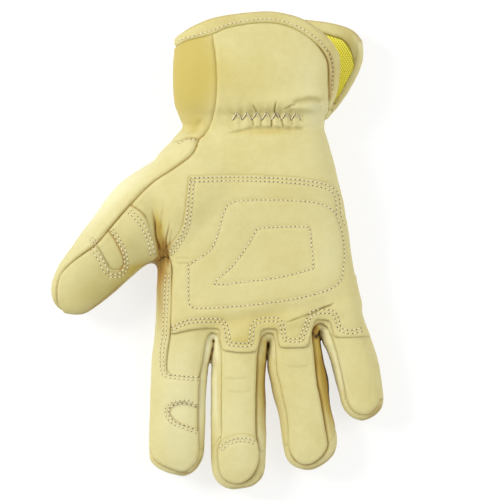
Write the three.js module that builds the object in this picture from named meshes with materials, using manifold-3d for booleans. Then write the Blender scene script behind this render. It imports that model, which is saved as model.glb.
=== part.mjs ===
// Leather work glove for the right hand, filled out as if worn, lying on its back with the palm up.
// Millimetres, +Z up. The fingers point to -Y, the cuff opens to +Y and the thumb lies to -X.
// Every piece is a slice of the same hollow form, or a layer laid over it.

import * as THREE from "three";
import { ParametricGeometry } from "three/addons/geometries/ParametricGeometry.js";
import { mergeVertices } from "three/addons/utils/BufferGeometryUtils.js";
import Module from "manifold-3d";

const wasm = await Module();
wasm.setup();

// Driving dimensions
const LEATHER = 2; // wall of the hand, leather and its backing together
const GAP = 0.3; // clearance between neighbouring pieces
const OVERLAY = 1.2; // thickness of the second layer of leather
const BINDING_OUT = 0.7; // how far the folded edge strip stands out from the wall
const BINDING_IN = 3.1; // how deep the strip reaches inside, measured from the outer face
const LINING_OUT = 2.4; // outer face of the cuff lining, below the leather's outer face
const LINING_IN = 3.4; // inner face of the cuff lining
const SIDE_SEAM = 12.5; // height of the seam that joins palm and back where the side is rolled
const THUMB_SIDE_SEAM = 16.5; // height of the same seam round the thumb, which lies higher
const OVERLAY_EDGE = 14; // how low the second layers reach round a rolled side
const GUSSET_SEAM = 5; // height of the seam between the back and the strips between fingers
const FLAP_HEIGHT = 24; // the cuff's palm flap ends above this height at the slit
const BACK_HEIGHT = 18; // the cuff's back flap ends at this height, so the slit gapes
const SIDE_BAND = 6.5; // width of the edge strip down the back flap's side
const CUFF_END = 63; // where the cuff's lining stops, at the wrist
const LEAST_HALF = 0.4; // smallest half-width of a tip's last section
const MERGE = 1e-4; // vertices closer than this are one
const ARC_STEPS = 400; // fineness with which a section's length is measured
const TIP_SECTIONS = 4; // the last sections of a limb, which grow forwards with its rounded tip
const SHARPEST = 0.4; // limits how far an outline's corner moves when the outline is offset
const ABOVE = 80; // higher than anything on the glove
const BELOW = -5; // lower than anything on the glove

const COLOURS = {
  palm: 0xe1d797,
  back: 0xddd08c,
  overlay: 0xe4dca0,
  gusset: 0xcdb869,
  binding: 0xd8ca82,
  lining: 0xd6cb4a,
};
const ROUGHNESS = { leather: 0.62, gusset: 0.66, lining: 0.85 };

// Turns a short table with named columns into a list of records.
function table(columns, rows) {
  return rows.map((row) =>
    Object.fromEntries(columns.map((column, i) => [column, row[i]])),
  );
}

// Sections across each limb. Along is measured down the limb, left and right are its edges across,
// low and high the heights of its back and front.
const SECTION = ["along", "left", "right", "low", "high"];

const HAND = {
  power: 2.9,
  start: [0, 0],
  direction: [0, -1],
  rows: table(SECTION, [
    [-143, -39, 62, -0.8, 41],
    [-116, -41.2, 62.5, -0.8, 42],
    [-98, -42.4, 60, -0.8, 42],
    [-84, -42.2, 50.8, -0.6, 39.6],
    [-76, -41, 45.2, 0, 36],
    [-68.5, -38, 41.5, 0.7, 32.6],
    [-60, -38, 42.5, 0.4, 34.4],
    [-46, -44, 46.2, -0.7, 35],
    [-28, -53.6, 51, -0.8, 34],
    [-10, -54, 53.9, -0.8, 31.6],
    [8, -51.6, 56.4, -0.8, 29.8],
    [26, -51.6, 60.8, -0.8, 28.2],
    [40, -51.8, 64.2, -0.7, 26],
  ]),
  // The rounded end between the fingers lies further back towards the little finger.
  end: table(["along", "slope", "left", "right", "low", "high"], [
    [45.4, -0.075, -50.6, 63.4, 0, 23],
    [49.2, -0.08, -47, 60, 3.4, 18.6],
  ]),
};

const FINGER = {
  power: 2.5,
  start: [0, 0],
  direction: [0, -1],
};

const FINGER_ROWS = {
  index: table(SECTION, [
    [22, -49, -25, 4, 21],
    [40, -51.9, -22, -0.6, 25.4],
    [54, -53.8, -21.2, -0.7, 25],
    [70, -55, -23.1, -0.7, 24.4],
    [88, -55.8, -24.7, -0.6, 23.6],
    [106, -56.1, -25.2, 0, 22.6],
    [115, -55.6, -25.8, 1, 21.8],
    [120.4, -51, -28.6, 3.2, 20.2],
    [123.9, -41.5, -32.8, 8, 15],
  ]),
  middle: table(SECTION, [
    [22, -17, 5, 4, 21],
    [40, -18.9, 8.2, -0.6, 25.8],
    [54, -19.8, 9.4, -0.7, 25.4],
    [70, -21.3, 8.8, -0.7, 24.8],
    [92, -21.4, 8.5, -0.7, 24],
    [113, -21.4, 8.8, 0, 23],
    [122, -20.3, 8.5, 1.2, 22.1],
    [128, -17.4, 5, 3.6, 19.8],
    [131.6, -10.4, -4, 8.4, 14.6],
  ]),
  ring: table(SECTION, [
    [20, 15, 35, 4, 21],
    [36, 12, 38, -0.6, 25.2],
    [50, 10.9, 38.8, -0.7, 24.8],
    [64, 10.6, 41.4, -0.7, 24.3],
    [82, 13.3, 44.1, -0.7, 23.6],
    [101, 17.2, 47.2, -0.3, 22.6],
    [112, 19, 46.8, 1.3, 21.5],
    [117.4, 22.4, 41.8, 3.6, 19.6],
    [120.4, 28.4, 35.2, 8.4, 14.8],
  ]),
  little: table(SECTION, [
    [16, 42, 57, 4, 20.5],
    [30, 38.8, 61.2, -0.6, 24.2],
    [42, 38.6, 64.3, -0.7, 23.8],
    [54, 41.6, 68.2, -0.7, 23.2],
    [66, 45.5, 71.6, -0.7, 22.6],
    [80, 49.1, 73.2, -0.2, 21.6],
    [87.4, 51.8, 71.8, 1.4, 20.6],
    [91.5, 55.3, 67.8, 4, 18.6],
    [93.7, 59.4, 63.2, 8, 14.6],
  ]),
};

// The thumb leaves the hand at the heel and slants away from it.
const THUMB = {
  power: 2.5,
  start: [-27.5, 44],
  direction: [-0.733, -0.68],
  rows: table(SECTION, [
    [-22, -10, 12, 6, 24],
    [-6, -20.5, 20, 0.2, 34],
    [14, -21.2, 23, -0.6, 36],
    [34, -23.2, 23, -0.2, 35.6],
    [47, -22.2, 21, 1.2, 34],
    [58, -20.6, 16.4, 2.8, 32.6],
    [75, -17, 15.8, 4.2, 31],
    [92, -14.2, 15.6, 5.2, 29.6],
    [100.6, -10.4, 13.8, 6.8, 27.6],
    [106, -4, 9, 10.2, 23.8],
    [108.2, 1.2, 4.6, 14, 20],
  ]),
};

// Sides of a section: the outside is finer than the inside, which nobody sees.
const OUTSIDE = { hand: 30, thumb: 16, finger: 14 };
const INSIDE = { hand: 18, thumb: 10, finger: 8 };

// Dents and folds of the palm side: centre, half-lengths along the fold and across it,
// direction of the fold in degrees from +X, and height.
const FOLDS = table(["x", "y", "long", "wide", "turn", "rise"], [
  [22, 82, 22, 5, 4, 2.4], // puff of leather over the gathered wrist
  [12, 73, 30, 3.5, 2, -2.2], // the gathered line
  [12, -2, 30, 30, 0, -1.6], // hollow of the palm
  [8, -36, 46, 4, 12, -1.4], // crease above the fingers
  [-50, 14, 17, 5.5, -76, -4.5], // fold between palm and thumb
]);

// Outlines of the pieces as seen from above
const CUFF_FLAP_EDGE = [
  [-70, 98.5], [-40.3, 116.7], [-27.5, 123], [-14.9, 128.3], [8.2, 130.7], [22, 128.7],
  [31.4, 124.9], [43, 116.7], [48.5, 106.7], [49.3, 91.3], [44.5, 78.9], [41.5, 71],
];
const CUFF_FLAP_BAND = [
  [-70, 94.5], [-40.3, 112.2], [-21, 117.5], [-11, 121.5], [8.2, 124], [23, 121.3],
  [35.2, 113.5], [42.4, 104.5], [43, 94], [42, 80.3], [38.5, 71],
];
const CUFF_BACK_EDGE = [
  [-70, 98.5], [-40.3, 116.7], [-14.9, 126.5], [8.2, 128.7], [27.5, 127], [47, 124.3],
  [58.5, 117.5], [75, 101],
];
const CUFF_BACK_BAND = [
  [-70, 94.5], [-40.3, 112.2], [-14.9, 120.5], [8.2, 122.7], [27.5, 121], [41.8, 118.8],
  [54, 112.8], [75, 91.8],
];
const SLIT = [[41, 80], [41, 140], [90, 140], [90, 80]];
const SLIT_SIDE = [[41.5, 71], [41.5, 82], [47, 92], [47, 140], [90, 140], [90, 71]];
const SLIT_FOOT = [[41.5, 71], [41.5, 80], [90, 80], [90, 71]];
// Closes a cuff outline behind the hand, well clear of it
const HAND_SIDE = [[120, 71], [120, -160], [-140, -160], [-140, 94]];
const CUFF_SEAM = [
  [-20.4, 116.5], [-18.7, 102.9], [-18.5, 83.5], [-21, 70.5], [-24.8, 64], [-28, 61],
];
const THUMB_SEAM = [
  [-28, 61], [-31.6, 52.8], [-42.4, 44.5], [-54.8, 36.3], [-65.2, 25.3], [-84.4, 3.3],
  [-94, -3.6], [-101.8, -10.5], [-105, -16.2], [-106, -22], [-105.5, -29], [-103, -33.5],
];
const INDEX_TIP = [
  [-54.2, -113.5], [-47.9, -118.3], [-41.5, -121], [-35.8, -122.3], [-31, -118.6], [-27.9, -113.5],
];
const INDEX_RIGHT = [
  [-28, -108.4], [-28, -75.4], [-27.3, -69.9], [-25.5, -62], [-24.4, -54.5], [-23, -49],
  [-20.8, -46],
];
const MIDDLE_LEFT = [
  [-18.2, -47.9], [-16.8, -52.3], [-16, -60.5], [-16, -102.3], [-17.9, -109.5], [-17.5, -118.3],
  [-15.5, -125.5], [-10.5, -128.7],
];
const MIDDLE_RIGHT = [
  [-5.5, -128.7], [1, -124.3], [5, -116.5], [5.2, -109.5], [3.3, -102.3], [3.9, -82.5],
  [4.5, -60.5], [5.2, -55], [6.4, -49.2], [9.4, -45.6],
];
const RING_LEFT = [
  [12.2, -46.6], [13.6, -51], [14.3, -66], [17, -77], [20.4, -95], [21.5, -109], [24.8, -115],
  [31, -118],
];
const RING_RIGHT = [
  [39, -115], [43.5, -109.5], [43, -104.5], [39, -80.9], [37.5, -74.1], [35.9, -57.2],
  [35, -45], [38, -40.5],
];
const LITTLE_LEFT = [
  [41.8, -43], [44.5, -47.9], [47.3, -57.2], [51.5, -74.1], [51.8, -80.9], [56, -89.8], [61, -91.6],
];
const LITTLE_TIP = [
  [68.5, -88.5], [72, -83], [90, -80],
];
// Where the strips between the fingers end, in the open gaps
const GUSSET_TIPS = { index_middle: [-22, -111], middle_ring: [12, -112], ring_little: [49, -95] };
// The front's outline where it runs past the glove: at the cuff, and beside the index finger
const FRONT_PAST_CUFF = [
  [-20.4, 135], [42.6, 135], [42.6, 80.3], [41.2, 71], [120, 71], [120, -80],
];
const FRONT_PAST_INDEX = [[-80, -113.5], [-80, -50], [-100, -50]];
// The strip down the thumb's outer side: its top edge, and its outline past the thumb
const THUMB_STRIP_TOP = [[-40.5, 59.9], [-34, 62]];
const PAST_THUMB = [[-104, -60], [-130, -40], [-130, 59.9]];
const THUMB_ZONE = [[-56, 30], [-56, -60], [-130, -60], [-130, 30]];
const CUFF_ZONE = [[-140, CUFF_END], [120, CUFF_END], [120, 150], [-140, 150]];
const PALM_OVERLAY = [
  [-33.5, 40.5], [-10, 41.5], [15.5, 40.7], [36.3, 38.5], [47.9, 33.5], [52, 16], [70, 8],
  [80, -48], [47.7, -47.9], [46, -45.5], [44.7, -41.2], [43, -38.8], [38.8, -38], [35.8, -38.5],
  [33.5, -44], [30.8, -53.1], [21, -53.7], [16.7, -53.1], [15.7, -47.9], [14.9, -43.8],
  [11.5, -43], [8.2, -43.2], [5.7, -45], [5, -50], [2.8, -55.5], [-4.5, -56.3], [-10.7, -55.8],
  [-14.9, -54.5], [-16.2, -48.5], [-16.8, -44], [-21.5, -43], [-32.5, -44], [-43.2, -46],
  [-43, -16.5], [-44.5, -6.5], [-46.2, -0.5], [-41.8, 5], [-36.5, 15.5],
];
const INDEX_OVERLAY = [
  [-80, -40], [-56, -30], [-56, -9], [-51, -5.6], [-45, -5.2], [-43.6, -16.5], [-43.8, -41.8],
  [-45, -54.5], [-45.8, -64], [-43.5, -68.5], [-27.7, -69.9], [-28.4, -75.4], [-28.4, -113.5], [-31.2, -118.2],
  [-36, -121.6], [-41.5, -120.4], [-47.9, -117.7], [-54.2, -113], [-80, -113],
];
const INDEX_WINDOW = [
  [-20, -87.5], [-28.5, -86.6], [-35.2, -84.2], [-40.3, -84.5], [-43.7, -86.6], [-44.3, -88.8],
  [-42, -92.5], [-37, -95.5], [-28.5, -98.5], [-20, -98.5],
];
const THUMB_OVERLAY = [
  [-65.2, 24.6], [-60.2, 21.5], [-57.2, 18], [-53, 6], [-49.7, -2.8], [-46, -22], [-80, -50],
  [-100, -50], [-102.4, -33.5], [-104.9, -29], [-105.4, -22], [-104.4, -16.2], [-101.4, -11],
  [-93.6, -4.2], [-84, 2.6],
];
const THUMB_WINDOW = [
  [-90, 8], [-84.2, 3], [-79.2, -5.2], [-76.5, -10], [-71.2, -10.5], [-69.5, -8.2],
  [-69.7, -3.6], [-73.3, 4.5], [-77.5, 10.7], [-80, 16],
];
const TIP_CAP = [
  [-17.5, -107.8], [-14.3, -103.7], [-8, -101.5], [-2.2, -101], [2.6, -103.1], [4.6, -109.5],
  [4.4, -116.5], [0.7, -124], [-5.7, -128], [-10.5, -128], [-15, -125], [-17, -118.3],
];

// A superellipse around which the vertices of a section are evenly spread.
class Section extends THREE.Curve {
  constructor(halfWidth, halfHeight, power) {
    super();
    this.halfWidth = halfWidth;
    this.halfHeight = halfHeight;
    this.power = power;
    this.arcLengthDivisions = ARC_STEPS;
  }

  getPoint(t, target = new THREE.Vector3()) {
    const bend = (value) => Math.sign(value) * Math.abs(value) ** (2 / this.power);
    const across = bend(Math.cos(2 * Math.PI * t));
    const up = bend(Math.sin(2 * Math.PI * t));
    return target.set(this.halfWidth * across, this.halfHeight * up, 0);
  }
}

// How far the palm side is raised or sunk at one place, full on the front and nothing at the sides.
function foldHeight(x, y) {
  let height = 0;
  for (const fold of FOLDS) {
    const turn = THREE.MathUtils.degToRad(fold.turn);
    const along = (x - fold.x) * Math.cos(turn) + (y - fold.y) * Math.sin(turn);
    const across = (y - fold.y) * Math.cos(turn) - (x - fold.x) * Math.sin(turn);
    height += fold.rise * Math.exp(-((along / fold.long) ** 2) - (across / fold.wide) ** 2);
  }
  return height;
}

// Turns a closed geometry into a solid, turned right side out, without its collapsed triangles.
function toSolid(geometry) {
  const bare = new THREE.BufferGeometry();
  bare.setAttribute("position", geometry.getAttribute("position"));
  bare.setIndex(geometry.getIndex());
  const merged = mergeVertices(bare, MERGE);
  const corners = [];
  const index = merged.getIndex().array;
  for (let i = 0; i < index.length; i += 3) {
    const [a, b, c] = index.slice(i, i + 3);
    if (a !== b && b !== c && c !== a) corners.push(a, b, c);
  }
  const build = (list) =>
    new wasm.Manifold(
      new wasm.Mesh({
        numProp: 3,
        vertProperties: merged.getAttribute("position").array,
        triVerts: new Uint32Array(list),
      }),
    );
  const solid = build(corners);
  return solid.volume() > 0 ? solid : build(corners.reverse());
}

// A limb: sections carried along its direction, grown outwards on all sides by the given amount.
function limb({ power, start, direction, rows }, around, grow) {
  const middle = rows[Math.floor(rows.length / 2)];
  const width = middle.right - middle.left;
  const reference = new Section(width / 2, (middle.high - middle.low) / 2, power);
  const unit = new Section(1, 1, power);
  const point = new THREE.Vector3();
  const stacks = rows.length + 1;
  const last = stacks - 1;
  const [dx, dy] = direction;
  const floor = Math.max(-grow, 0);

  const surface = (u, v, target) => {
    const step = Math.round(v * stacks);
    const row = rows[THREE.MathUtils.clamp(step - 1, 0, rows.length - 1)];
    const cap = step === 0 || step === stacks ? 0 : 1;
    unit.getPoint(reference.getUtoTmapping(u % 1), point);
    const half = Math.max((row.right - row.left) / 2 + grow, LEAST_HALF);
    const tall = Math.max((row.high - row.low) / 2 + grow, LEAST_HALF);
    // The start grows backwards, and the rounded tip forwards.
    const forwards = step <= 1 ? -1 : THREE.MathUtils.smoothstep(step, last - TIP_SECTIONS, last);
    const across = (row.left + row.right) / 2 + cap * half * point.x;
    const along = row.along + grow * forwards + (row.slope ?? 0) * across;
    const x = start[0] + dx * along - dy * across;
    const y = start[1] + dy * along + dx * across;
    let z = (row.low + row.high) / 2 + cap * tall * point.y;
    if (point.y > 0) z += foldHeight(x, y) * cap * point.y ** 2;
    target.set(x, y, Math.max(z, floor));
  };
  return toSolid(new ParametricGeometry(surface, around, stacks));
}

// The whole glove as one closed form, grown or shrunk from the outer face of the leather.
function gloveForm(grow, sides) {
  const hand = { ...HAND, rows: [...HAND.rows, ...HAND.end] };
  let form = limb(hand, sides.hand, grow).add(limb(THUMB, sides.thumb, grow));
  for (const rows of Object.values(FINGER_ROWS)) {
    form = form.add(limb({ ...FINGER, rows }, sides.finger, grow));
  }
  return form;
}

// Moves a closed outline outwards by the given distance, or inwards if it is negative.
function offsetOutline(points, distance) {
  const ring = points.map(([x, y]) => new THREE.Vector2(x, y));
  const side = THREE.ShapeUtils.area(ring) > 0 ? 1 : -1;
  return ring.map((here, i) => {
    const before = ring[(i + ring.length - 1) % ring.length];
    const after = ring[(i + 1) % ring.length];
    const into = here.clone().sub(before).normalize();
    const out = after.clone().sub(here).normalize();
    const normal = new THREE.Vector2(into.y + out.y, -(into.x + out.x)).normalize();
    const miter = Math.max(normal.dot(new THREE.Vector2(out.y, -out.x)), SHARPEST);
    return here.clone().addScaledVector(normal, (side * distance) / miter).toArray();
  });
}

// An upright block with the given outline, between two heights.
function block(points, low = BELOW, high = ABOVE) {
  const shape = new THREE.Shape(points.map(([x, y]) => new THREE.Vector2(x, y)));
  const geometry = new THREE.ExtrudeGeometry(shape, { depth: high - low, bevelEnabled: false });
  geometry.translate(0, 0, low);
  return toSolid(geometry);
}

const wall = gloveForm(0, OUTSIDE).subtract(gloveForm(-LEATHER, INSIDE));
const overlayWall = gloveForm(GAP + OVERLAY, OUTSIDE).subtract(gloveForm(GAP, OUTSIDE));
const bindingWall = gloveForm(BINDING_OUT, OUTSIDE).subtract(gloveForm(-BINDING_IN, INSIDE));
const liningWall = gloveForm(-LINING_OUT, INSIDE).subtract(gloveForm(-LINING_IN, INSIDE));

// The slit, and the edge strip down the back flap's side to the slit's foot
const slitSpace = block(SLIT, BACK_HEIGHT, FLAP_HEIGHT);
const sideBand = (extra) =>
  block(offsetOutline(SLIT_SIDE, extra), BACK_HEIGHT - SIDE_BAND - extra, BACK_HEIGHT + extra).add(
    block(offsetOutline(SLIT_FOOT, extra), BACK_HEIGHT - SIDE_BAND - extra, FLAP_HEIGHT + extra),
  );

// Where the cuff's leather may be: inside both flaps' edge strips
const flapSpace = block(offsetOutline([...CUFF_FLAP_BAND, ...HAND_SIDE], -GAP), FLAP_HEIGHT);
const backSpace = block(offsetOutline([...CUFF_BACK_BAND, ...HAND_SIDE], -GAP), BELOW, FLAP_HEIGHT);
const leatherSpace = flapSpace.add(backSpace).subtract(sideBand(GAP)).subtract(slitSpace);

// Plan regions of the leather pieces
const frontOutline = [
  ...CUFF_SEAM.toReversed().slice(0, -1),
  ...FRONT_PAST_CUFF,
  ...LITTLE_TIP.toReversed(), ...LITTLE_LEFT.toReversed(), ...RING_RIGHT.toReversed(),
  ...RING_LEFT.toReversed(), ...MIDDLE_RIGHT.toReversed(), ...MIDDLE_LEFT.toReversed(),
  ...INDEX_RIGHT.toReversed(), ...INDEX_TIP.toReversed(),
  ...FRONT_PAST_INDEX, ...THUMB_SEAM.toReversed().slice(0, -1),
];
const thumbBackOutline = [...THUMB_STRIP_TOP, ...THUMB_SEAM, ...PAST_THUMB];
const gussets = {
  fourchette_index_middle: [...INDEX_RIGHT, ...MIDDLE_LEFT.slice(0, 5), GUSSET_TIPS.index_middle],
  fourchette_middle_ring: [
    ...MIDDLE_RIGHT.slice(3), ...RING_LEFT.slice(0, 6), GUSSET_TIPS.middle_ring,
  ],
  fourchette_ring_little: [
    ...RING_RIGHT.slice(1), ...LITTLE_LEFT.slice(0, 5), GUSSET_TIPS.ring_little,
  ],
};

const underThumb = (extra) => block(THUMB_ZONE, BELOW, THUMB_SIDE_SEAM - extra);
const frontBlock = (extra) =>
  block(offsetOutline(frontOutline, extra), SIDE_SEAM - extra).subtract(underThumb(extra));
const thumbBackBlock = (extra) =>
  block(offsetOutline(thumbBackOutline, extra), THUMB_SIDE_SEAM - extra);
const gussetBlock = (name, extra) =>
  block(offsetOutline(gussets[name], extra), GUSSET_SEAM - extra);

// A named mesh in its own material
function mesh(name, solid, colour, roughness = ROUGHNESS.leather) {
  const { vertProperties, triVerts } = solid.getMesh();
  const geometry = new THREE.BufferGeometry();
  geometry.setAttribute("position", new THREE.BufferAttribute(vertProperties, 3));
  geometry.setIndex(new THREE.BufferAttribute(triVerts, 1));
  geometry.computeVertexNormals();
  const material = new THREE.MeshStandardMaterial({ color: colour, roughness, metalness: 0 });
  const piece = new THREE.Mesh(geometry, material);
  piece.name = name;
  return piece;
}

const glove = new THREE.Group();
glove.name = "leather_work_glove";

// Strips between the fingers
const gussetNames = Object.keys(gussets);
for (const name of gussetNames) {
  const strip = wall.intersect(gussetBlock(name, 0));
  glove.add(mesh(name, strip, COLOURS.gusset, ROUGHNESS.gusset));
}
const allGussets = gussetNames
  .map((name) => gussetBlock(name, GAP))
  .reduce((joined, next) => joined.add(next));

// Outer side of the thumb
const thumbBack = wall.intersect(thumbBackBlock(0)).subtract(allGussets);
glove.add(mesh("thumb_back", thumbBack, COLOURS.back));

// Front of the hand, thumb and fingers, up to the cuff flap's edge
const palm = wall
  .intersect(frontBlock(0))
  .intersect(leatherSpace)
  .subtract(allGussets)
  .subtract(thumbBackBlock(GAP));
glove.add(mesh("palm_panel", palm, COLOURS.palm));

// Back of the hand, fingers and cuff
const back = wall
  .intersect(leatherSpace)
  .subtract(frontBlock(GAP))
  .subtract(allGussets)
  .subtract(thumbBackBlock(GAP));
glove.add(mesh("back_panel", back, COLOURS.back));

// Second layers of leather
const palmOverlay = overlayWall.intersect(block(PALM_OVERLAY, OVERLAY_EDGE));
glove.add(mesh("palm_overlay", palmOverlay, COLOURS.overlay));
const indexOverlay = overlayWall
  .intersect(block(INDEX_OVERLAY, OVERLAY_EDGE))
  .subtract(block(INDEX_WINDOW))
  .subtract(block(offsetOutline(PALM_OVERLAY, GAP)));
glove.add(mesh("index_overlay", indexOverlay, COLOURS.overlay));
const thumbOverlay = overlayWall
  .intersect(block(THUMB_OVERLAY, OVERLAY_EDGE))
  .subtract(block(THUMB_WINDOW))
  .subtract(block(offsetOutline(INDEX_OVERLAY, GAP)));
glove.add(mesh("thumb_overlay", thumbOverlay, COLOURS.overlay));
const tipCap = overlayWall.intersect(block(TIP_CAP, OVERLAY_EDGE));
glove.add(mesh("middle_tip_cap", tipCap, COLOURS.overlay));

// Folded strip round both flaps and down the slit
const flapEdge = block([...CUFF_FLAP_EDGE, ...HAND_SIDE], FLAP_HEIGHT);
const flapInside = block([...CUFF_FLAP_BAND, ...HAND_SIDE], FLAP_HEIGHT);
const backEdge = block([...CUFF_BACK_EDGE, ...HAND_SIDE], BELOW, FLAP_HEIGHT);
const backInside = block([...CUFF_BACK_BAND, ...HAND_SIDE], BELOW, FLAP_HEIGHT);
const strips = flapEdge
  .subtract(flapInside)
  .add(backEdge.subtract(backInside))
  .add(sideBand(0).intersect(backEdge));
const binding = bindingWall.intersect(strips).subtract(slitSpace);
glove.add(mesh("cuff_binding", binding, COLOURS.binding));

// Lining inside the cuff
const lining = liningWall.intersect(leatherSpace).intersect(block(CUFF_ZONE));
glove.add(mesh("cuff_lining", lining, COLOURS.lining, ROUGHNESS.lining));

export default glove;
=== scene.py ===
"""Leather work glove for the right hand, filled out as if worn, lying on its back with the palm up.

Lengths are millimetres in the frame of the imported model, and MM turns them into metres where a
mesh is made. The fingers point to -Y, the cuff opens to +Y and the thumb lies to -X.
"""

import bpy
import numpy as np
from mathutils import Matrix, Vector


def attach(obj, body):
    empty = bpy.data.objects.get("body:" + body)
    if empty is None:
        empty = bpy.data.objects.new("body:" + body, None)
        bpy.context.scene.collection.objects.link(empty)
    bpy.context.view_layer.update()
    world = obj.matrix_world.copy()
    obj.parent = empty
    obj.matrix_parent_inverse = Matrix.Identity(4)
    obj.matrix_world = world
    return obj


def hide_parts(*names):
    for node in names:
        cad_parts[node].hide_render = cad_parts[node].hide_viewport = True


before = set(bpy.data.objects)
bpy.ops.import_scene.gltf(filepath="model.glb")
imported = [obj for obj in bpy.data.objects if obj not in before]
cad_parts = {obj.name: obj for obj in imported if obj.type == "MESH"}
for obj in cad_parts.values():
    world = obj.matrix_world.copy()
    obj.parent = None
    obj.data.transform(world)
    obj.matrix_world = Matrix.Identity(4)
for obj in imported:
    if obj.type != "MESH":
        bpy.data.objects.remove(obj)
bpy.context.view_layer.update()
MM = 0.001

# Leather and seams
LEATHER = 1.7  # wall of the hand
OVERLAY = 1.1  # second layer of leather
OVERLAY_GAP = 0.1  # between it and the wall under it
BINDING_OUT = 0.5  # how far the folded edge strip stands out from the wall
BINDING_IN = 3.1  # how deep it reaches inside, measured from the wall's outer face
LINING_OUT = 2.2  # outer face of the cuff lining, below the wall's outer face
LINING_IN = 3.1
SIDE_SEAM = 12.5  # height of the seam that joins palm and back on a rolled side
THUMB_SIDE_SEAM = 16.5
OVERLAY_EDGE = 14.0  # how low the second layers reach round a rolled side
GUSSET_SEAM = 5.0  # height of the seam between the back and the strips between fingers
FLAP_HEIGHT = 21.0  # the cuff's palm flap lies above this height, its back flap below
BACK_HEIGHT = 18.0  # the back flap's side ends at this height, so the slit gapes
FLAP_END = 24.0  # and the palm flap's side at this one
SIDE_BAND = 3.2  # width of the edge strip down the back flap's side
CUFF_END = 63.0  # where the cuff's lining stops, at the wrist

# How limbs melt into each other, and the grid of the net
FINGER_BLEND = 4.0
THUMB_BLEND = 7.0
FLOOR_BLEND = 1.5
NET_STEP = np.array([0.88, 1.08, 0.98])
NET_LOW = np.array([-113.0, -135.0, -2.0])
NET_HIGH = np.array([77.0, 136.0, 46.0])
FAR = 60.0  # stands for any distance that is too long to matter

# Sections across each limb: along it, its left and right edges across, the heights of its back and
# front. The hand has one more column, the right edge of its palm side, which the cuff's slit parts
# from its back.
HAND_ROWS = [
    [-150, -40.4, 62.5, 49.0, -0.8, 41.0],
    [-128, -40.7, 62.5, 49.0, -0.8, 41.6],
    [-115, -41.0, 62.5, 49.0, -0.8, 42.0],
    [-106, -41.6, 62.4, 49.1, -0.8, 42.0],
    [-98, -42.1, 60.2, 49.2, -0.8, 41.8],
    [-89, -42.1, 55.4, 48.2, -0.7, 40.6],
    [-80, -41.2, 48.9, 45.4, -0.4, 38.0],
    [-73, -38.9, 43.0, 42.6, 0.3, 34.6],
    [-67.5, -36.8, 40.8, 40.8, 0.7, 32.8],
    [-60, -39.0, 42.7, 42.7, 0.4, 34.2],
    [-46, -44.0, 46.6, 46.6, -0.7, 35.0],
    [-28, -52.4, 50.9, 50.9, -0.8, 34.0],
    [-10, -54.0, 53.8, 53.8, -0.8, 31.6],
    [8, -50.8, 56.2, 56.2, -0.8, 29.8],
    [26, -50.6, 58.6, 58.6, -0.8, 28.2],
    [38, -49.3, 60.2, 60.2, -0.7, 26.4],
    [45, -46.0, 57.0, 57.0, 0.0, 23.2],
    [48.6, -40.0, 50.0, 50.0, 3.0, 19.0],
    [50.0, -36.0, 46.0, 46.0, 7.0, 14.0],
    [50.3, -34.0, 44.0, 44.0, 10.0, 11.0],
]
# Where the hand ends between the fingers, from the index finger's side to the little finger's
WEB_LINE = [[-52, 48.5], [-20, 50.0], [10, 50.6], [38, 44.6], [62, 40.0]]
INDEX_ROWS = [
    [22, -49.0, -25.0, 4.0, 21.0],
    [40, -51.4, -20.6, -0.6, 25.4],
    [52, -52.8, -20.0, -0.7, 25.1],
    [57, -53.3, -20.8, -0.7, 24.9],
    [61, -53.6, -21.8, -0.7, 24.8],
    [65, -53.9, -23.0, -0.7, 24.6],
    [72, -54.3, -23.8, -0.7, 24.3],
    [80, -54.6, -24.3, -0.7, 24.0],
    [92, -54.9, -24.8, -0.6, 23.5],
    [104, -55.2, -25.0, 0.0, 22.8],
    [111, -55.3, -25.4, 0.7, 22.2],
    [115.5, -54.8, -26.5, 1.4, 21.6],
    [119.6, -51.4, -28.9, 3.2, 20.4],
    [122.4, -46.0, -31.6, 5.6, 18.4],
    [124, -40.0, -35.0, 9.0, 14.6],
    [124.5, -37.4, -37.0, 11.6, 12.0],
]
MIDDLE_ROWS = [
    [22, -17.0, 5.0, 4.0, 21.0],
    [40, -19.6, 9.4, -0.6, 25.8],
    [52, -20.4, 10.2, -0.7, 25.4],
    [57, -21.3, 9.5, -0.7, 25.2],
    [61, -21.6, 9.2, -0.7, 25.0],
    [65, -21.3, 8.7, -0.7, 24.9],
    [76, -21.5, 8.5, -0.7, 24.6],
    [95, -21.5, 8.8, -0.7, 24.0],
    [112, -21.5, 8.8, 0.0, 23.0],
    [120.5, -21.0, 8.2, 1.0, 22.2],
    [124.6, -19.8, 7.0, 2.0, 21.2],
    [127.8, -17.6, 4.6, 3.6, 19.8],
    [130.2, -14.6, 0.8, 6.0, 17.6],
    [131.5, -11.0, -5.6, 9.0, 14.4],
    [131.8, -8.6, -8.4, 11.4, 11.8],
]
RING_ROWS = [
    [20, 15.0, 35.0, 4.0, 21.0],
    [36, 11.6, 38.2, -0.6, 25.2],
    [44, 10.8, 38.9, -0.7, 25.0],
    [51, 10.1, 39.0, -0.7, 24.8],
    [57, 9.7, 40.0, -0.7, 24.5],
    [62, 9.5, 40.9, -0.7, 24.3],
    [67, 9.8, 42.2, -0.7, 24.1],
    [73, 11.1, 43.2, -0.7, 24.0],
    [80, 12.7, 43.8, -0.7, 23.7],
    [88, 15.1, 45.0, -0.6, 23.3],
    [96, 16.6, 46.7, -0.4, 22.9],
    [104, 17.5, 47.9, 0.2, 22.4],
    [110, 18.6, 47.2, 1.0, 21.7],
    [114, 19.9, 45.1, 2.0, 20.8],
    [117, 21.9, 41.9, 3.6, 19.4],
    [119.4, 25.2, 38.0, 6.0, 17.2],
    [120.8, 29.0, 34.2, 9.0, 14.2],
    [121.1, 31.4, 31.7, 11.4, 11.7],
]
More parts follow.
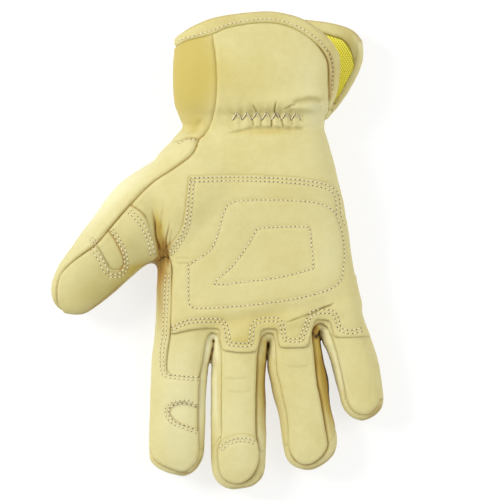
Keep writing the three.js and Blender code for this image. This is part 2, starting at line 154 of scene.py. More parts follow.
LITTLE_ROWS = [
    [16, 42.0, 57.0, 4.0, 20.5],
    [30, 39.0, 60.2, -0.6, 24.2],
    [40, 37.8, 63.3, -0.7, 23.8],
    [46, 38.4, 65.4, -0.7, 23.6],
    [51, 39.8, 67.2, -0.7, 23.4],
    [55, 42.0, 68.6, -0.7, 23.2],
    [61, 44.2, 70.4, -0.7, 22.9],
    [70, 46.7, 72.1, -0.5, 22.3],
    [79, 48.9, 73.2, 0.0, 21.7],
    [84, 49.9, 73.1, 0.7, 21.1],
    [87.6, 51.6, 71.8, 1.8, 20.2],
    [90.6, 54.2, 69.2, 3.8, 18.4],
    [92.7, 57.2, 66.0, 6.6, 16.0],
    [93.8, 60.4, 63.0, 9.6, 13.2],
    [94.0, 61.5, 61.8, 11.2, 11.6],
]
THUMB_START = [-27.5, 44.0]
THUMB_DIRECTION = [-0.733, -0.68]
THUMB_ROWS = [
    [-22, -10.0, 12.0, 6.0, 24.0],
    [-6, -20.6, 20.0, 0.2, 34.0],
    [8, -22.0, 22.0, -0.4, 35.6],
    [15, -21.2, 23.0, -0.6, 36.0],
    [24, -22.6, 23.0, -0.4, 35.8],
    [36, -24.3, 22.6, -0.1, 35.4],
    [47, -23.4, 20.8, 1.2, 34.0],
    [58, -21.1, 17.6, 2.8, 32.6],
    [69, -19.3, 17.1, 3.8, 31.4],
    [81, -16.7, 16.8, 4.6, 30.4],
    [91, -14.9, 15.9, 5.4, 29.4],
    [97, -12.4, 15.2, 6.2, 28.4],
    [101.5, -10.0, 13.6, 7.4, 27.2],
    [105, -7.0, 10.6, 9.4, 25.2],
    [107.4, -3.4, 7.2, 12.4, 22.4],
    [108.4, -0.2, 4.4, 15.4, 19.4],
    [108.6, 2.0, 2.4, 17.2, 17.6],
]

# Patches: centre, half-lengths along and across, direction in degrees from +X, and amount. First
# the heights of dents and puffs on the palm side
DENTS = [
    [22, 82, 22, 5.0, 4, 2.4],  # puff of leather over the gathered wrist
    [10, 73.5, 28, 2.6, 0, -1.3],  # the gathered line
    [12, 69, 18, 1.6, 0, 0.7],  # puff below it
    [12, -2, 30, 30, 0, -1.6],  # hollow of the palm
    [8, -36, 46, 4.0, 12, -1.2],  # crease above the fingers
    [-50, 14, 17, 5.5, -76, -3.5],  # fold between palm and thumb
    [30, 78.8, 8, 2.6, -4, 2.2],  # puff beside the cuff's slit
]
# How brown the leather is painted, a painted shade in folds, under the thumb, in the gaps between
# fingers and beside strips and layers, and above 1 how near to black
PAINTED_SHADE_BROWN = [
    [-49.4, 9, 10, 2.4, -75, 0.52],  # in the fold between palm and thumb
    [-47.4, -1, 5, 3.6, 90, 0.5],
    [-48.2, -10, 9, 4.0, -88, 0.85],  # below it, beside the index finger
    [-50, -22, 14, 2.6, -88, 0.35],
    [-56, -7.5, 6, 1.4, 12, 0.5],  # under the thumb's root
    [-53.2, -8.2, 3.0, 1.0, 30, 0.7],
    [-20.1, -50, 0.9, 0.8, 90, 2.4],  # at the foot of the gap beside the index finger
    [-21.2, -56.5, 5, 0.7, 80, 1.5],
    [-19.2, -59, 8, 1.3, 90, 0.5],
    [10.1, -53, 2.0, 0.8, 90, 2.2],  # beside the middle finger
    [9.5, -57.5, 3.5, 0.6, 86, 1.2],
    [37.8, -45.7, 1.6, 0.8, 60, 2.2],  # beside the ring finger
    [36.6, -47.6, 1.0, 0.7, 45, 1.6],
    [39.7, -49.8, 3, 0.6, 111, 1.2],
    [36, -43.4, 2.8, 0.8, 69, 0.9],
    [35.6, -46.6, 1.8, 0.8, -60, 0.9],
    [15, 65.6, 17, 1.3, 0, 0.22],  # under the gathered wrist
    [-48.4, -28, 16, 1.8, 90, 0.3],  # strip left of the index finger's second layer
    [45.6, 102, 16, 3.2, 99, 0.18],  # edge strip beside the slit
]
# How much yellower the leather is, or paler below zero: partly its own tone, partly painted light
# and shade
TINT_AND_PAINTED_LIGHT = [
    [-38, -88, 48, 14, 90, -0.5],  # index finger, paler as painted light
    [-6, -98, 42, 12, 90, -0.35],  # middle finger
    [28, -105, 24, 12, 90, -0.2],  # ring finger
    [6.5, -103, 10, 2.5, 90, -0.45],  # strips outside the middle and the little finger's seams, paler as painted light on their shaded sides
    [49.5, -68, 14, 2.5, 102, -0.6],
    [-76, 31, 44, 8, 43, -0.75],  # thumb's strip, paler as painted light
    [-90, 4, 14, 7, 43, -0.25],
    [-70, -17, 22, 4.5, 43, 0.55],  # thumb's lower side, yellower as painted shade
    [-88, -22, 16, 6, 43, 0.4],
    [-49, 4, 16, 4, -78, 0.5],
    [58, 104, 20, 4, 70, -0.6],  # edge strip of the back flap, paler as painted light in the palm flap's shade
    [46, 121, 12, 3, -14, -0.5],
    [-2, -39, 34, 7, 2, 0.45],  # below the palm's quilted lines
    [-4, -50, 11, 5, 0, 0.6],
    [24, -48, 9, 5, 0, 0.25],
    [44, -2, 34, 9, 85, -0.35],
    [-49.6, 12, 8, 2, -78, 0.7],
    [-53.6, 4, 9, 1.2, -76, -0.5],
    [-62, -9.5, 8, 2.4, 14, 0.7],
    [30, 83, 8, 1.6, 4, 0.5],
    [10, 64.5, 16, 2, 0, 0.5],
    [32, 92, 22, 11, 90, -0.35],  # cuff
    [-18, 97, 24, 9, 90, 0.28],
    [37, 74, 10, 8, 90, -0.35],
    [-2, 96, 20, 16, 0, 0.32],
    [-31, 67, 7, 6, 90, 0.4],
    [2, 54, 26, 8, 5, 0.15],
    [38, 54, 8, 8, 0, -0.2],
]
# How much duller the leather is painted, a painted shade on the thumb and beside the index finger
PAINTED_SHADE_DULL = [
    [-82, -14, 34, 14, 43, 0.34],  # thumb, painted shade
    [-63, 3, 7, 6, 43, 0.2],
    [-84, 12, 24, 5, 43, 0.09],
    [-48.8, -28, 17, 3.4, 90, 0.2],
]
SHADED_SIDES_DULL = 0.16  # and, as painted shade, on the fingers' sides that face right and towards the tips, away from the key light
TIP_SHADE_BROWN = 0.55  # how brown the band round the lower right side of the fingertips is painted, a painted shade
RIM_LEAN = 0.4  # how far the leather's normal leans up there
RIM_WIDE = 0.17
INDEX_END = -18  # the index finger's right side lies left of this, across
MIDDLE_END = 20  # and the middle finger's left of this
GUSSET_SHADE_OCHRE = [0.15, 0.8, 1.5]  # how ochre the index, middle and ring finger's right sides are painted, a painted shade where they face away from the light
CUFF_OCHRE = 0.82  # and how ochre and dull the cuff's left side is
CUFF_DULL = 0.14
LINING_SHADE_LINE = 0.6  # how brown the line beside the lining is, a painted shade
OUTER_EDGE_SHADE = 0.5  # and the cuff's outer edge, also painted shade

# Creases: a line in plan, how wide and how deep, how brown and how dull its bottom is, and over
# which share of the line it begins. The brown and dull are painted shade in the crease.
CREASES = [
    # between palm and thumb
    ([[-53.6, 24], [-52.2, 14], [-51.5, 7], [-49.8, 1.5], [-49.2, -2.4]], 0.6, 1.8, 0.6, 0.3, 0.3),
    ([[-43.2, 18], [-44, 12.7], [-44.8, 8], [-45.5, 4], [-45.4, 0.2], [-45, -4], [-44.8, -10.8]],
     0.5, 0.9, 0.55, 0.1, 0.3),
    ([[-47.4, 8], [-47, 3], [-47.4, -3], [-47.6, -9]], 0.45, 0.4, 0.3, 0.0, 0.4),
    ([[-49.6, -4], [-48.6, -9], [-48.4, -14]], 0.5, 0.3, 0.25, 0.0, 0.1),
    ([[-42.4, 13], [-43.2, 6], [-44, 1]], 0.45, 0.4, 0.25, 0.2, 0.3),
    ([[-60.5, -8.0], [-55.5, -6.6], [-52.4, -5.2], [-49.8, -3.4]], 0.6, 0.6, 0.4, 0.5, 0.3),
    ([[-41, -7.2], [-37, -7.4], [-32.4, -6.8]], 0.45, 0.3, 0.15, 0.2, 0.2),
    ([[-41.5, -4.4], [-36, -4.2], [-32, -4.8]], 0.45, 0.25, 0.12, 0.2, 0.2),
    ([[-47, 27], [-48.2, 18], [-48.4, 9]], 0.7, 0.5, 0.2, 0.1, 0.4),
    # over the finger roots
    ([[17.9, -40.7], [27.8, -36.9], [34, -34.8], [41, -31.4], [46.8, -30.3]],
     0.5, 0.9, 0.35, 0.3, 0.15),
    ([[37.4, -33], [42, -31.2], [46.8, -28.9]], 0.5, 0.5, 0.25, 0.3, 0.2),
    ([[-14.5, -77.5], [-6, -78.2], [1, -77.4]], 0.6, 0.2, 0.05, 0.1, 0.2),
    ([[-16.5, -70], [-9, -70.8], [-1, -70.2]], 0.6, 0.25, 0.05, 0.15, 0.2),
    ([[19, -63.4], [25, -64.4], [33, -63.6]], 0.6, 0.25, 0.05, 0.15, 0.2),
    # the gathered wrist
    ([[22, 80.3], [25.3, 81.4], [29.2, 82], [31.9, 82.7], [35.2, 82.4], [37.4, 81.6], [39, 80]],
     1.3, 1.5, 0.1, 0.3, 0.15),
    ([[17.8, 76.7], [20.4, 78.3], [22, 79.7], [25.6, 79.9]], 0.5, 0.9, 0.15, 0.4, 0.2),
    ([[34, 80.9], [36.6, 79.8], [38.8, 78.2]], 0.6, 0.4, 0.05, 0.15, 0.2),
    ([[33, 79], [36, 78.2], [38.4, 76.6]], 0.6, 0.35, 0.0, 0.1, 0.2),
    ([[1.5, 80.6], [2.2, 78.1], [3.3, 75.9], [3.2, 73.6]], 0.5, 1.0, 0.15, 0.6, 0.4),
    ([[15, 83.4], [13.8, 79.6], [13.4, 76], [14.2, 73.8], [16.5, 71.3]],
     0.55, 1.4, 0.35, 0.5, 0.35),
    ([[11.8, 71.2], [11.9, 69.3], [11.7, 67.2]], 0.5, 1.1, 0.35, 0.9, 0.1),
    ([[17.5, 71.3], [17.8, 69.3], [18.4, 67.2]], 0.5, 1.0, 0.25, 0.8, 0.1),
    ([[6, 70.8], [6.1, 69], [6, 67.6]], 0.45, 0.7, 0.1, 0.5, 0.1),
    ([[1.4, 71.2], [1.8, 69.4], [1.6, 67.6]], 0.45, 0.8, 0.15, 0.5, 0.1),
    ([[23.2, 71.3], [23.2, 69.6], [23.5, 68]], 0.45, 0.7, 0.1, 0.5, 0.1),
    ([[29.4, 74.2], [29, 71.8], [29.3, 69.2]], 0.45, 0.5, 0.0, 0.3, 0.3),
    ([[-9.4, 74.6], [-7.8, 73.2], [-7, 71.4]], 0.45, 0.6, 0.1, 0.4, 0.2),
    ([[-14.3, 63.3], [-9.9, 64.5], [-5.5, 65.3], [-1.1, 66.3], [3.3, 66.8], [11, 66.9],
      [27.5, 66.7], [30, 66.5]], 0.6, 1.0, 0.15, 0.35, 0.25),
    ([[-26, 72], [-30, 67], [-36, 62]], 1.2, 0.6, 0.1, 0.1, 0.2),
    # along the cuff's edge, beside its strip and under the strip's stitching
    ([[38, 114.2], [41.6, 110], [44.2, 105.6], [45.4, 97.9], [45, 90.8], [44.7, 85.5]],
     0.55, 0.5, 0.6, 0.1, 0.3),
    ([[33.6, 116.4], [41, 106.8], [43, 99.8], [43.4, 88.4], [42.4, 80]], 0.7, 0.5, 0.7, 0.3, 0.2),
]

# Seam lines in plan, where the palm side meets the back, the thumb's strip and the gussets
CUFF_SEAM = [
    [-20.4, 135], [-20.4, 116.5], [-18.7, 102.9], [-18.5, 83.5], [-21, 70.5], [-24.8, 64],
    [-28, 61],
]
THUMB_SEAM = [
    [-28, 61], [-31.6, 52.8], [-42.4, 44.5], [-54.8, 36.3], [-65.2, 25.3], [-74.8, 14.3],
    [-84.4, 3.3], [-94, -3.6], [-101.8, -10.5], [-105, -16.2], [-106, -22], [-105.5, -29],
    [-103, -33.5],
]
INDEX_TIP = [
    [-56, -109.5], [-54.4, -112.9], [-51.8, -116.4], [-46.8, -119.6], [-41.3, -121.6],
    [-36.6, -122.2], [-33, -120.2], [-30, -116.8], [-28.4, -113], [-27.8, -109.4],
]
INDEX_RIGHT = [
    [-27.8, -109.4], [-27.9, -104], [-28, -93], [-28, -75.4], [-27.3, -69.9], [-25.5, -62],
    [-24.4, -54.5], [-23, -49], [-20.8, -46.6],
]
MIDDLE_LEFT = [
    [-18.2, -47.9], [-16.8, -52.3], [-16, -60.5], [-16, -80], [-16, -102.3], [-17.4, -108.5],
    [-17.8, -114.5], [-17, -120.5], [-14.6, -125.2], [-11, -128], [-6.6, -128.9],
]
MIDDLE_RIGHT = [
    [-6.6, -128.9], [-2.8, -128.1], [1, -125.4], [3.6, -121], [5.2, -115.6], [5.4, -110],
    [4.4, -105], [3.8, -100], [3.9, -82.5], [4.5, -60.5], [5.2, -55], [6.4, -49.2], [9.4, -46.4],
]
RING_LEFT = [
    [12.2, -46.8], [13.6, -51], [14.3, -66], [17, -77], [20.4, -95], [20.6, -107], [22, -112.6],
    [25.2, -116.8], [29.4, -118.8],
]
RING_RIGHT = [
    [29.4, -118.8], [33.6, -118.4], [37.4, -116.2], [40.8, -112.6], [43, -108], [42.8, -103],
    [39, -80.9], [37.5, -74.1], [35.9, -57.2], [35, -45], [38, -41.2],
]
LITTLE_LEFT = [
    [41.8, -43], [44.5, -47.9], [47.3, -57.2], [50.8, -72], [52.2, -81], [54.4, -86.2],
    [58, -90], [62.4, -91.3],
]
LITTLE_TIP = [[62.4, -91.3], [66.2, -90.2], [69.6, -87], [72.4, -82.4], [90, -80]]
PAST_CUFF = [[46, 135], [46, 71], [120, 71], [120, -80]]
PAST_INDEX = [[-80, -104], [-80, -50], [-100, -50]]
THUMB_STRIP_TOP = [[-40.5, 59.9], [-34, 62]]
PAST_THUMB = [[-104, -60], [-130, -40], [-130, 59.9]]
GUSSET_TIPS = {"index_middle": [-22, -111], "middle_ring": [12, -112], "ring_little": [49, -95]}


def smooth_step(value, low, high):
    """0 up to low, 1 from high on, and between them 3t^2 - 2t^3."""
    t = np.clip((value - low) / (high - low), 0, 1)
    return t * t * (3 - 2 * t)


def smooth_min(a, b, reach):
    """The smaller of two distances, rounded by a parabola where they differ by less than reach."""
    share = np.clip(0.5 + 0.5 * (b - a) / reach, 0, 1)
    return b + (a - b) * share - reach * share * (1 - share)


def spline(rows, steps=8):
    """Points on the Catmull-Rom curve through the rows, with this many steps in each stretch."""
    rows = np.asarray(rows, float)
    ends = np.vstack([2 * rows[0] - rows[1], rows, 2 * rows[-1] - rows[-2]])
    a, b, c, d = (ends[i : len(ends) - 3 + i, None] for i in range(4))
    t = (np.arange(steps) / steps)[None, :, None]
    curve = b + 0.5 * t * (c - a + t * (2 * a - 5 * b + 4 * c - d + t * (3 * b - a - 3 * c + d)))
    return np.vstack([curve.reshape(-1, rows.shape[1]), rows[-1:]])


class Limb:
    """A limb of the glove: superellipse sections |across|^p + |up|^p = 1 carried along a line."""

    def __init__(self, rows, power, start=(0, 0), direction=(0, -1)):
        self.table = spline(rows, 12).T
        self.table[0] = np.maximum.accumulate(self.table[0])
        self.power = power
        self.start = start
        self.direction = direction

    def along_across(self, x, y):
        """Place along the limb's line, from its start, and place across it."""
        dx, dy = self.direction
        x, y = x - self.start[0], y - self.start[1]
        return x * dx + y * dy, y * dx - x * dy

    def edges(self, along, z):
        """Left and right edge, back and front height of the section at that place."""
        left, right, low, high = (np.interp(along, self.table[0], c) for c in self.table[1:])
        return left, right, low, high

    def field(self, x, y, z):
        """Distance outside the limb, about: (g - 1) / |slope of g| with g the section's norm, and
        not less than the distance to the section's box."""
        along, across = self.along_across(x, y)
        first, last = self.table[0][[0, -1]]
        widest = np.abs(self.table[1:3]).max() + 10
        near = ((along > first - 10) & (along < last + 10) & (np.abs(across) < widest)).any(1)
        value = np.full((len(x), max(x.shape[1], z.shape[1])), FAR)
        if not near.any():
            return value
        along, across = along[near], across[near]
        z = z if len(z) == 1 else z[near]
        left, right, low, high = self.edges(along, z)
        wide = np.maximum((right - left) / 2, 0.05)
        tall = np.maximum((high - low) / 2, 0.05)
        p = self.power_at(along, across, z)
        u = np.abs(across - (left + right) / 2) / wide + 1e-6
        w = np.abs(z - (low + high) / 2) / tall + 1e-6
        u_less, w_less = u ** (p - 1), w ** (p - 1)
        g = (u * u_less + w * w_less) ** (1 / p)
        slope = np.sqrt((u_less / wide) ** 2 + (w_less / tall) ** 2) * g ** (1 - p)
        box = np.maximum((u - 1) * wide, (w - 1) * tall)
        inner = np.maximum((g - 1) / slope, box)
        value[near] = np.maximum(inner, np.maximum(along - last, first - along))
        return value

    def power_at(self, along, across, z):
        """Power of the superellipse at that place."""
        return self.power


class Hand(Limb):
    """The hand and cuff. Its end follows the web line, and the cuff's palm side is narrower."""

    def along_across(self, x, y):
        """The same, but towards the fingers the hand is longer or shorter by the web line."""
        web = np.interp(x, *np.array(WEB_LINE, float).T)
        return -y + (self.table[0][-1] - web) * smooth_step(-y, 5, 42), x

    def edges(self, along, z):
        """The same, with the palm side's own right edge above the slit."""
        left, right, flap, low, high = (np.interp(along, self.table[0], c) for c in self.table[1:])
        return left, np.where(z > FLAP_HEIGHT, flap, right), low, high

    def power_at(self, along, across, z):
        """The back flap leans outwards at the slit, so its section is rounder there."""
        cuff = smooth_step(-along, 74, 90) * (z < FLAP_HEIGHT) * smooth_step(across, 5, 30)
        return self.power - 0.75 * cuff


HAND = Hand(HAND_ROWS, 2.8)
FINGERS = [Limb(rows, 2.5) for rows in (INDEX_ROWS, MIDDLE_ROWS, RING_ROWS, LITTLE_ROWS)]
THUMB = Limb(THUMB_ROWS, 2.5, THUMB_START, THUMB_DIRECTION)


def glove_field(x, y, z):
    """Distance outside the whole glove, about: the limbs melted together, flat on the floor."""
    fingers = FINGERS[0].field(x, y, z)
    for finger in FINGERS[1:]:
        fingers = np.minimum(fingers, finger.field(x, y, z))
    whole = smooth_min(HAND.field(x, y, z), fingers, FINGER_BLEND)
    whole = smooth_min(whole, THUMB.field(x, y, z), THUMB_BLEND)
    return -smooth_min(-whole, z + 0 * whole, FLOOR_BLEND)


def field_at(points):
    """The glove's field at points in rows."""
    return glove_field(points[:, :1], points[:, 1:2], points[:, 2:])[:, 0]


def slope_at(points, step=0.08):
    """Slope of the field by central differences."""
    moves = np.eye(3) * step
    return np.stack([field_at(points + m) - field_at(points - m) for m in moves], 1) / (2 * step)


def settle(points, rounds=2):
    """Newton steps along the slope, onto the surface where the field is zero."""
    for _ in range(rounds):
        slope = slope_at(points)
        step = field_at(points) / np.maximum((slope**2).sum(1), 0.1)
        points = points - slope * np.clip(step, -1.5, 1.5)[:, None]
    return points


def normals_at(points):
    """Unit normals: the field's slope divided by its length."""
    slope = slope_at(points)
    return slope / np.maximum(np.linalg.norm(slope, axis=1, keepdims=True), 1e-6)


def surface_net():
    """The glove's outside as a net of triangles. Each grid cell that the surface crosses holds one
    vertex, the mean of the crossings of its edges, and each crossed grid edge one quad."""
    sizes = np.ceil((NET_HIGH - NET_LOW) / NET_STEP).astype(int)
    axes = [NET_LOW[i] + NET_STEP[i] * np.arange(sizes[i] + 1) for i in range(3)]
    x, y = (a.reshape(-1, 1) for a in np.meshgrid(axes[0], axes[1], indexing="ij"))
    value = glove_field(x, y, axes[2][None, :]).reshape(sizes + 1)
    inside = value < 0
    cells = int(np.prod(sizes))
    total, count, quads = np.zeros((3, cells)), np.zeros(cells), []
    for axis in range(3):
        head = tuple(slice(None, -1) if i == axis else slice(None) for i in range(3))
        tail = tuple(slice(1, None) if i == axis else slice(None) for i in range(3))
        spot = np.argwhere(inside[head] != inside[tail])
        others = [(axis + 1) % 3, (axis + 2) % 3]
        fits = np.all((spot[:, others] > 0) & (spot[:, others] < sizes[others]), axis=1)
        spot = spot[fits]
        a, b = value[head][tuple(spot.T)], value[tail][tuple(spot.T)]
        where = spot.astype(float)
        where[:, axis] += a / (a - b)
        ring = []
        for back in ((0, 0), (1, 0), (1, 1), (0, 1)):
            cell = spot.copy()
            cell[:, others[0]] -= back[0]
            cell[:, others[1]] -= back[1]
            ring.append(np.ravel_multi_index(tuple(cell.T), tuple(sizes)))
            count += np.bincount(ring[-1], minlength=cells)
            for i in range(3):
                total[i] += np.bincount(ring[-1], weights=where[:, i], minlength=cells)
        ring = np.stack(ring, 1)
        quads.append(np.where((a < 0)[:, None], ring, ring[:, ::-1]))
    used = count > 0
    points = (total[:, used] / count[used]).T * NET_STEP + NET_LOW
    quads = (np.cumsum(used) - 1)[np.vstack(quads)]
    return points, quads


def relax(points, quads, rounds):
    """Moves each vertex to the middle of its neighbours, then back onto the surface."""
    a, b = quads[:, [0, 1, 2, 3]].ravel(), quads[:, [1, 2, 3, 0]].ravel()
    a, b = np.concatenate([a, b]), np.concatenate([b, a])
    number = np.bincount(a, minlength=len(points))
    for _ in range(rounds):
        mean = np.stack([np.bincount(a, points[b, i], len(points)) / number for i in range(3)], 1)
        points = settle(0.4 * points + 0.6 * mean, 1)
    return points


def triangles(points, quads):
    """Splits each quad along its shorter diagonal."""
    a, b, c, d = (points[quads[:, i]] for i in range(4))
    short = ((a - c) ** 2).sum(1) <= ((b - d) ** 2).sum(1)
    first = np.where(short[:, None], quads[:, [0, 1, 2]], quads[:, [0, 1, 3]])
    second = np.where(short[:, None], quads[:, [0, 2, 3]], quads[:, [1, 2, 3]])
    return np.vstack([first, second])


def nearest_on(path, points, reach):
    """Distance to a line in plan, the nearest place on it and the share of the way to it.

    A point further than reach from the line's box keeps the distance FAR."""
    x, y = points[:, 0], points[:, 1]
    low, high = path.min(0) - reach, path.max(0) + reach
    rows = np.flatnonzero((x > low[0]) & (x < high[0]) & (y > low[1]) & (y < high[1]))
    distance, share = np.full(len(points), FAR), np.zeros(len(points))
    place = points[:, :2].copy()
    start, step = path[:-1], np.diff(path, axis=0)
    length = np.maximum((step**2).sum(1), 1e-9)
    for part in np.array_split(rows, len(rows) // 4000 + 1):
        offset = points[part, None, :2] - start
        t = np.clip((offset * step).sum(2) / length, 0, 1)
        away = ((offset - t[:, :, None] * step) ** 2).sum(2)
        best = away.argmin(1)
        line = np.arange(len(part))
        distance[part] = np.sqrt(away[line, best])
        share[part] = (best + t[line, best]) / len(step)
        place[part] = start[best] + t[line, best, None] * step[best]
    return distance, place, share


class Outline:
    """A closed line in plan, smoothed through the given points, or with one step straight."""

    def __init__(self, points, steps=4):
        points = np.asarray(points, float)
        closed = np.vstack([points, points[:1]])
        self.path = spline(closed, steps) if steps > 1 else closed

    def __call__(self, points):
        """Signed distance, negative inside, and the nearest place on the line at that height."""
        distance, place, _ = nearest_on(self.path, points, 8.0)
        low, high = self.path.min(0), self.path.max(0)
        a, b = self.path[:-1], self.path[1:]
        inside = np.zeros(len(points), bool)
        boxed = np.all((points[:, :2] > low) & (points[:, :2] < high), axis=1)
        rows = np.flatnonzero(boxed)
        for part in np.array_split(rows, len(rows) // 8000 + 1):
            x, y = points[part, :1], points[part, 1:2]
            spans = (a[:, 1] > y) != (b[:, 1] > y)
            rise = np.where(b[:, 1] == a[:, 1], 1, b[:, 1] - a[:, 1])
            crosses = spans & (x < a[:, 0] + (y - a[:, 1]) / rise * (b[:, 0] - a[:, 0]))
            inside[part] = crosses.sum(1) % 2 == 1
        return np.where(inside, -distance, distance), np.column_stack([place, points[:, 2]])


def above(height):
    """The region above a height."""

    def region(points):
        target = points.copy()
        target[:, 2] = height
        return height - points[:, 2], target

    return region


def both(*regions):
    """The overlap of regions: the largest of their values, with its own nearest place."""

    def region(points):
        value, target = regions[0](points)
        for other in regions[1:]:
            found, place = other(points)
            more = found > value
            value, target = np.where(more, found, value), np.where(more[:, None], place, target)
        return value, target

    return region


def outside(inner):
    """What lies outside a region: its value with the other sign."""

    def region(points):
        value, target = inner(points)
        return -value, target

    return region


def rotated(faces, middles, first):
    """Triangles and the middles of their sides, each turned to begin with the given corner."""
    order = (np.arange(3) + first[:, None]) % 3
    return np.take_along_axis(faces, order, 1), np.take_along_axis(middles, order, 1)


class Net:
    """Vertices on the glove's outside, triangles, and each vertex's distance to the net's edge."""

    def __init__(self, points, faces, edge=None):
        self.points = points
        self.faces = faces
        self.edge = np.full(len(points), FAR) if edge is None else edge

    def part(self, points, kept, edge):
        """The kept triangles with their own vertices."""
        used = np.unique(kept)
        number = np.zeros(len(points), int)
        number[used] = np.arange(len(used))
        return Net(points[used], number[kept], edge[used])

    def split(self, region):
        """The net inside a region and the net outside it. Of each triangle side that the region's
        edge crosses, the nearer vertex moves onto the edge, so the cut follows triangle sides."""
        value, target = region(self.points)
        a, b = self.faces[:, [0, 1, 2]].ravel(), self.faces[:, [1, 2, 0]].ravel()
        crossed = (value[a] < 0) != (value[b] < 0)
        a, b = a[crossed], b[crossed]
        moved = np.unique(np.where(np.abs(value[a]) <= np.abs(value[b]), a, b))
        moved = moved[np.linalg.norm(target[moved] - self.points[moved], axis=1) < 2.5]
        points = self.points.copy()
        points[moved] = settle(target[moved], 1)
        points[moved] = settle(region(points[moved])[1], 1)
        sign = np.sign(value)
        sign[moved] = 0
        corner = sign[self.faces]
        middle = value[self.faces].mean(1) < 0
        inner = (corner.min(1) < 0) & ((corner.max(1) <= 0) | middle)
        inner |= (corner.min(1) == 0) & (corner.max(1) == 0) & middle
        edge = np.minimum(self.edge, np.where(sign == 0, 0, np.abs(value)))
        return self.part(points, self.faces[inner], edge), self.part(
            points, self.faces[~inner], edge
        )

    def inside(self, region):
        """The net inside a region."""
        return self.split(region)[0]

    def refined(self, lines, reach):
        """The net with the triangle sides near the lines halved. A triangle of which one, two or
        three sides are halved becomes two, three or four."""
        count, faces = len(self.points), self.faces
        ends = np.sort(faces[:, [0, 1, 1, 2, 2, 0]].reshape(-1, 2), axis=1).astype(np.int64)
        key, number = np.unique(ends[:, 0] * count + ends[:, 1], return_inverse=True)
        pair = np.column_stack([key // count, key % count])
        middle = self.points[pair].mean(1)
        near = np.zeros(len(key), bool)
        for line in lines:
            distance, _, _ = nearest_on(spline(line, 4), middle, reach)
            near |= distance < reach
        near &= middle[:, 2] > SIDE_SEAM
        added = np.where(near, count + np.cumsum(near) - 1, -1)[number].reshape(-1, 3)
        halved = (added >= 0).sum(1)
        made = [faces[halved == 0]]
        one, m = rotated(faces[halved == 1], added[halved == 1], added[halved == 1].argmax(1))
        made += [np.column_stack([one[:, 0], m[:, 0], one[:, 2]])]
        made += [np.column_stack([m[:, 0], one[:, 1], one[:, 2]])]
        whole_side = added[halved == 2].argmin(1)
        two, m = rotated(faces[halved == 2], added[halved == 2], (whole_side + 1) % 3)
        made += [np.column_stack([m[:, 0], two[:, 1], m[:, 1]])]
        made += [np.column_stack([two[:, 0], m[:, 0], m[:, 1]])]
        made += [np.column_stack([two[:, 0], m[:, 1], two[:, 2]])]
        three, m = faces[halved == 3], added[halved == 3]
        for corner in range(3):
            made += [np.column_stack([three[:, corner], m[:, corner], m[:, corner - 1]])]
        made += [m]
        points = np.vstack([self.points, middle[near]])
        edge = np.concatenate([self.edge, self.edge[pair[near]].mean(1)])
        return Net(points, np.vstack(made), edge)


# Outlines of the cuff's flaps, the slit between them and the second layers, in plan
CUFF_FLAP_EDGE = [
    [-70, 98.5], [-40.3, 117.5], [-28, 124], [-14.9, 127.9], [8.2, 130.3], [22, 128.5],
    [31.4, 124.9], [43, 116.7], [47.2, 111.3], [50.4, 105], [53, 98], [54.5, 90], [55, 82],
    [56, 71],
]
CUFF_FLAP_BAND = [
    [-70, 94.5], [-40.3, 112.2], [-21, 117.5], [-11, 121.5], [8.2, 124], [23, 121.3],
    [35.2, 113.5], [42.4, 104.5], [43, 94], [42.6, 86], [42.8, 80], [43.4, 76.5], [46, 73.5],
    [53, 71],
]
CUFF_BACK_EDGE = [
    [-70, 98.5], [-40.3, 116.7], [-14.9, 126.5], [8.2, 128.7], [27.5, 127.6], [40, 126.2],
    [48.5, 124.5], [55.6, 122], [60.2, 118.4], [62.8, 113.6], [63.8, 108], [75, 85],
]
CUFF_BACK_BAND = [
    [-70, 94.5], [-40.3, 112.2], [-14.9, 120.5], [8.2, 122.7], [27.5, 121.6], [38, 120.2],
    [46.5, 117.6], [52.6, 115.4], [56.4, 110.6], [58.4, 105], [62, 92], [75, 82],
]
AROUND_HAND = [[120, 71], [120, -160], [-140, -160], [-140, 94]]  # closes the lines far out
SLIT = [[41, 80], [41, 140], [90, 140], [90, 80]]
SLIT_SIDE = [[41.5, 71], [41.5, 82], [47, 92], [47, 140], [90, 140], [90, 71]]
SLIT_FOOT = [[41.5, 71], [41.5, 80], [90, 80], [90, 71]]
CUFF_ZONE = [[-140, CUFF_END], [120, CUFF_END], [120, 150], [-140, 150]]
THUMB_ZONE = [[-56, 30], [-56, -60], [-130, -60], [-130, 30]]
PALM_TOP = [[-33.5, 40.5], [-10, 41.5], [15.5, 40.7], [36.3, 38.5], [47.9, 33.5], [53, 16]]
PALM_SCALLOPS = [
    [84, -47.6], [66, -47.6], [47.7, -47.9], [46, -45.5], [44.7, -41.2], [43, -38.8],
    [38.8, -38], [35.8, -38.5], [34, -42.4], [32.7, -48.5], [30.8, -53.1], [21, -53.7],
    [16.7, -53.1], [15.7, -48.5], [14.9, -43.8], [11.5, -43], [8.2, -43.2], [5.7, -45],
    [5, -50], [2.8, -55.5], [-4.5, -56.3], [-10.7, -55.8], [-14.9, -54.5], [-16.2, -48.5],
    [-16.8, -44], [-21.5, -43], [-32.5, -44], [-43.4, -46.4],
]
PALM_LEFT = [
    [-43.4, -46.4], [-43, -30], [-42.6, -18], [-42.4, -10.5], [-44, -5], [-46.2, -0.5], [-41.8, 5],
    [-36.5, 15.5],
]
PALM_OVERLAY = PALM_TOP + [[84, 8], [84, -20], [84, -47.6]] + PALM_SCALLOPS + PALM_LEFT
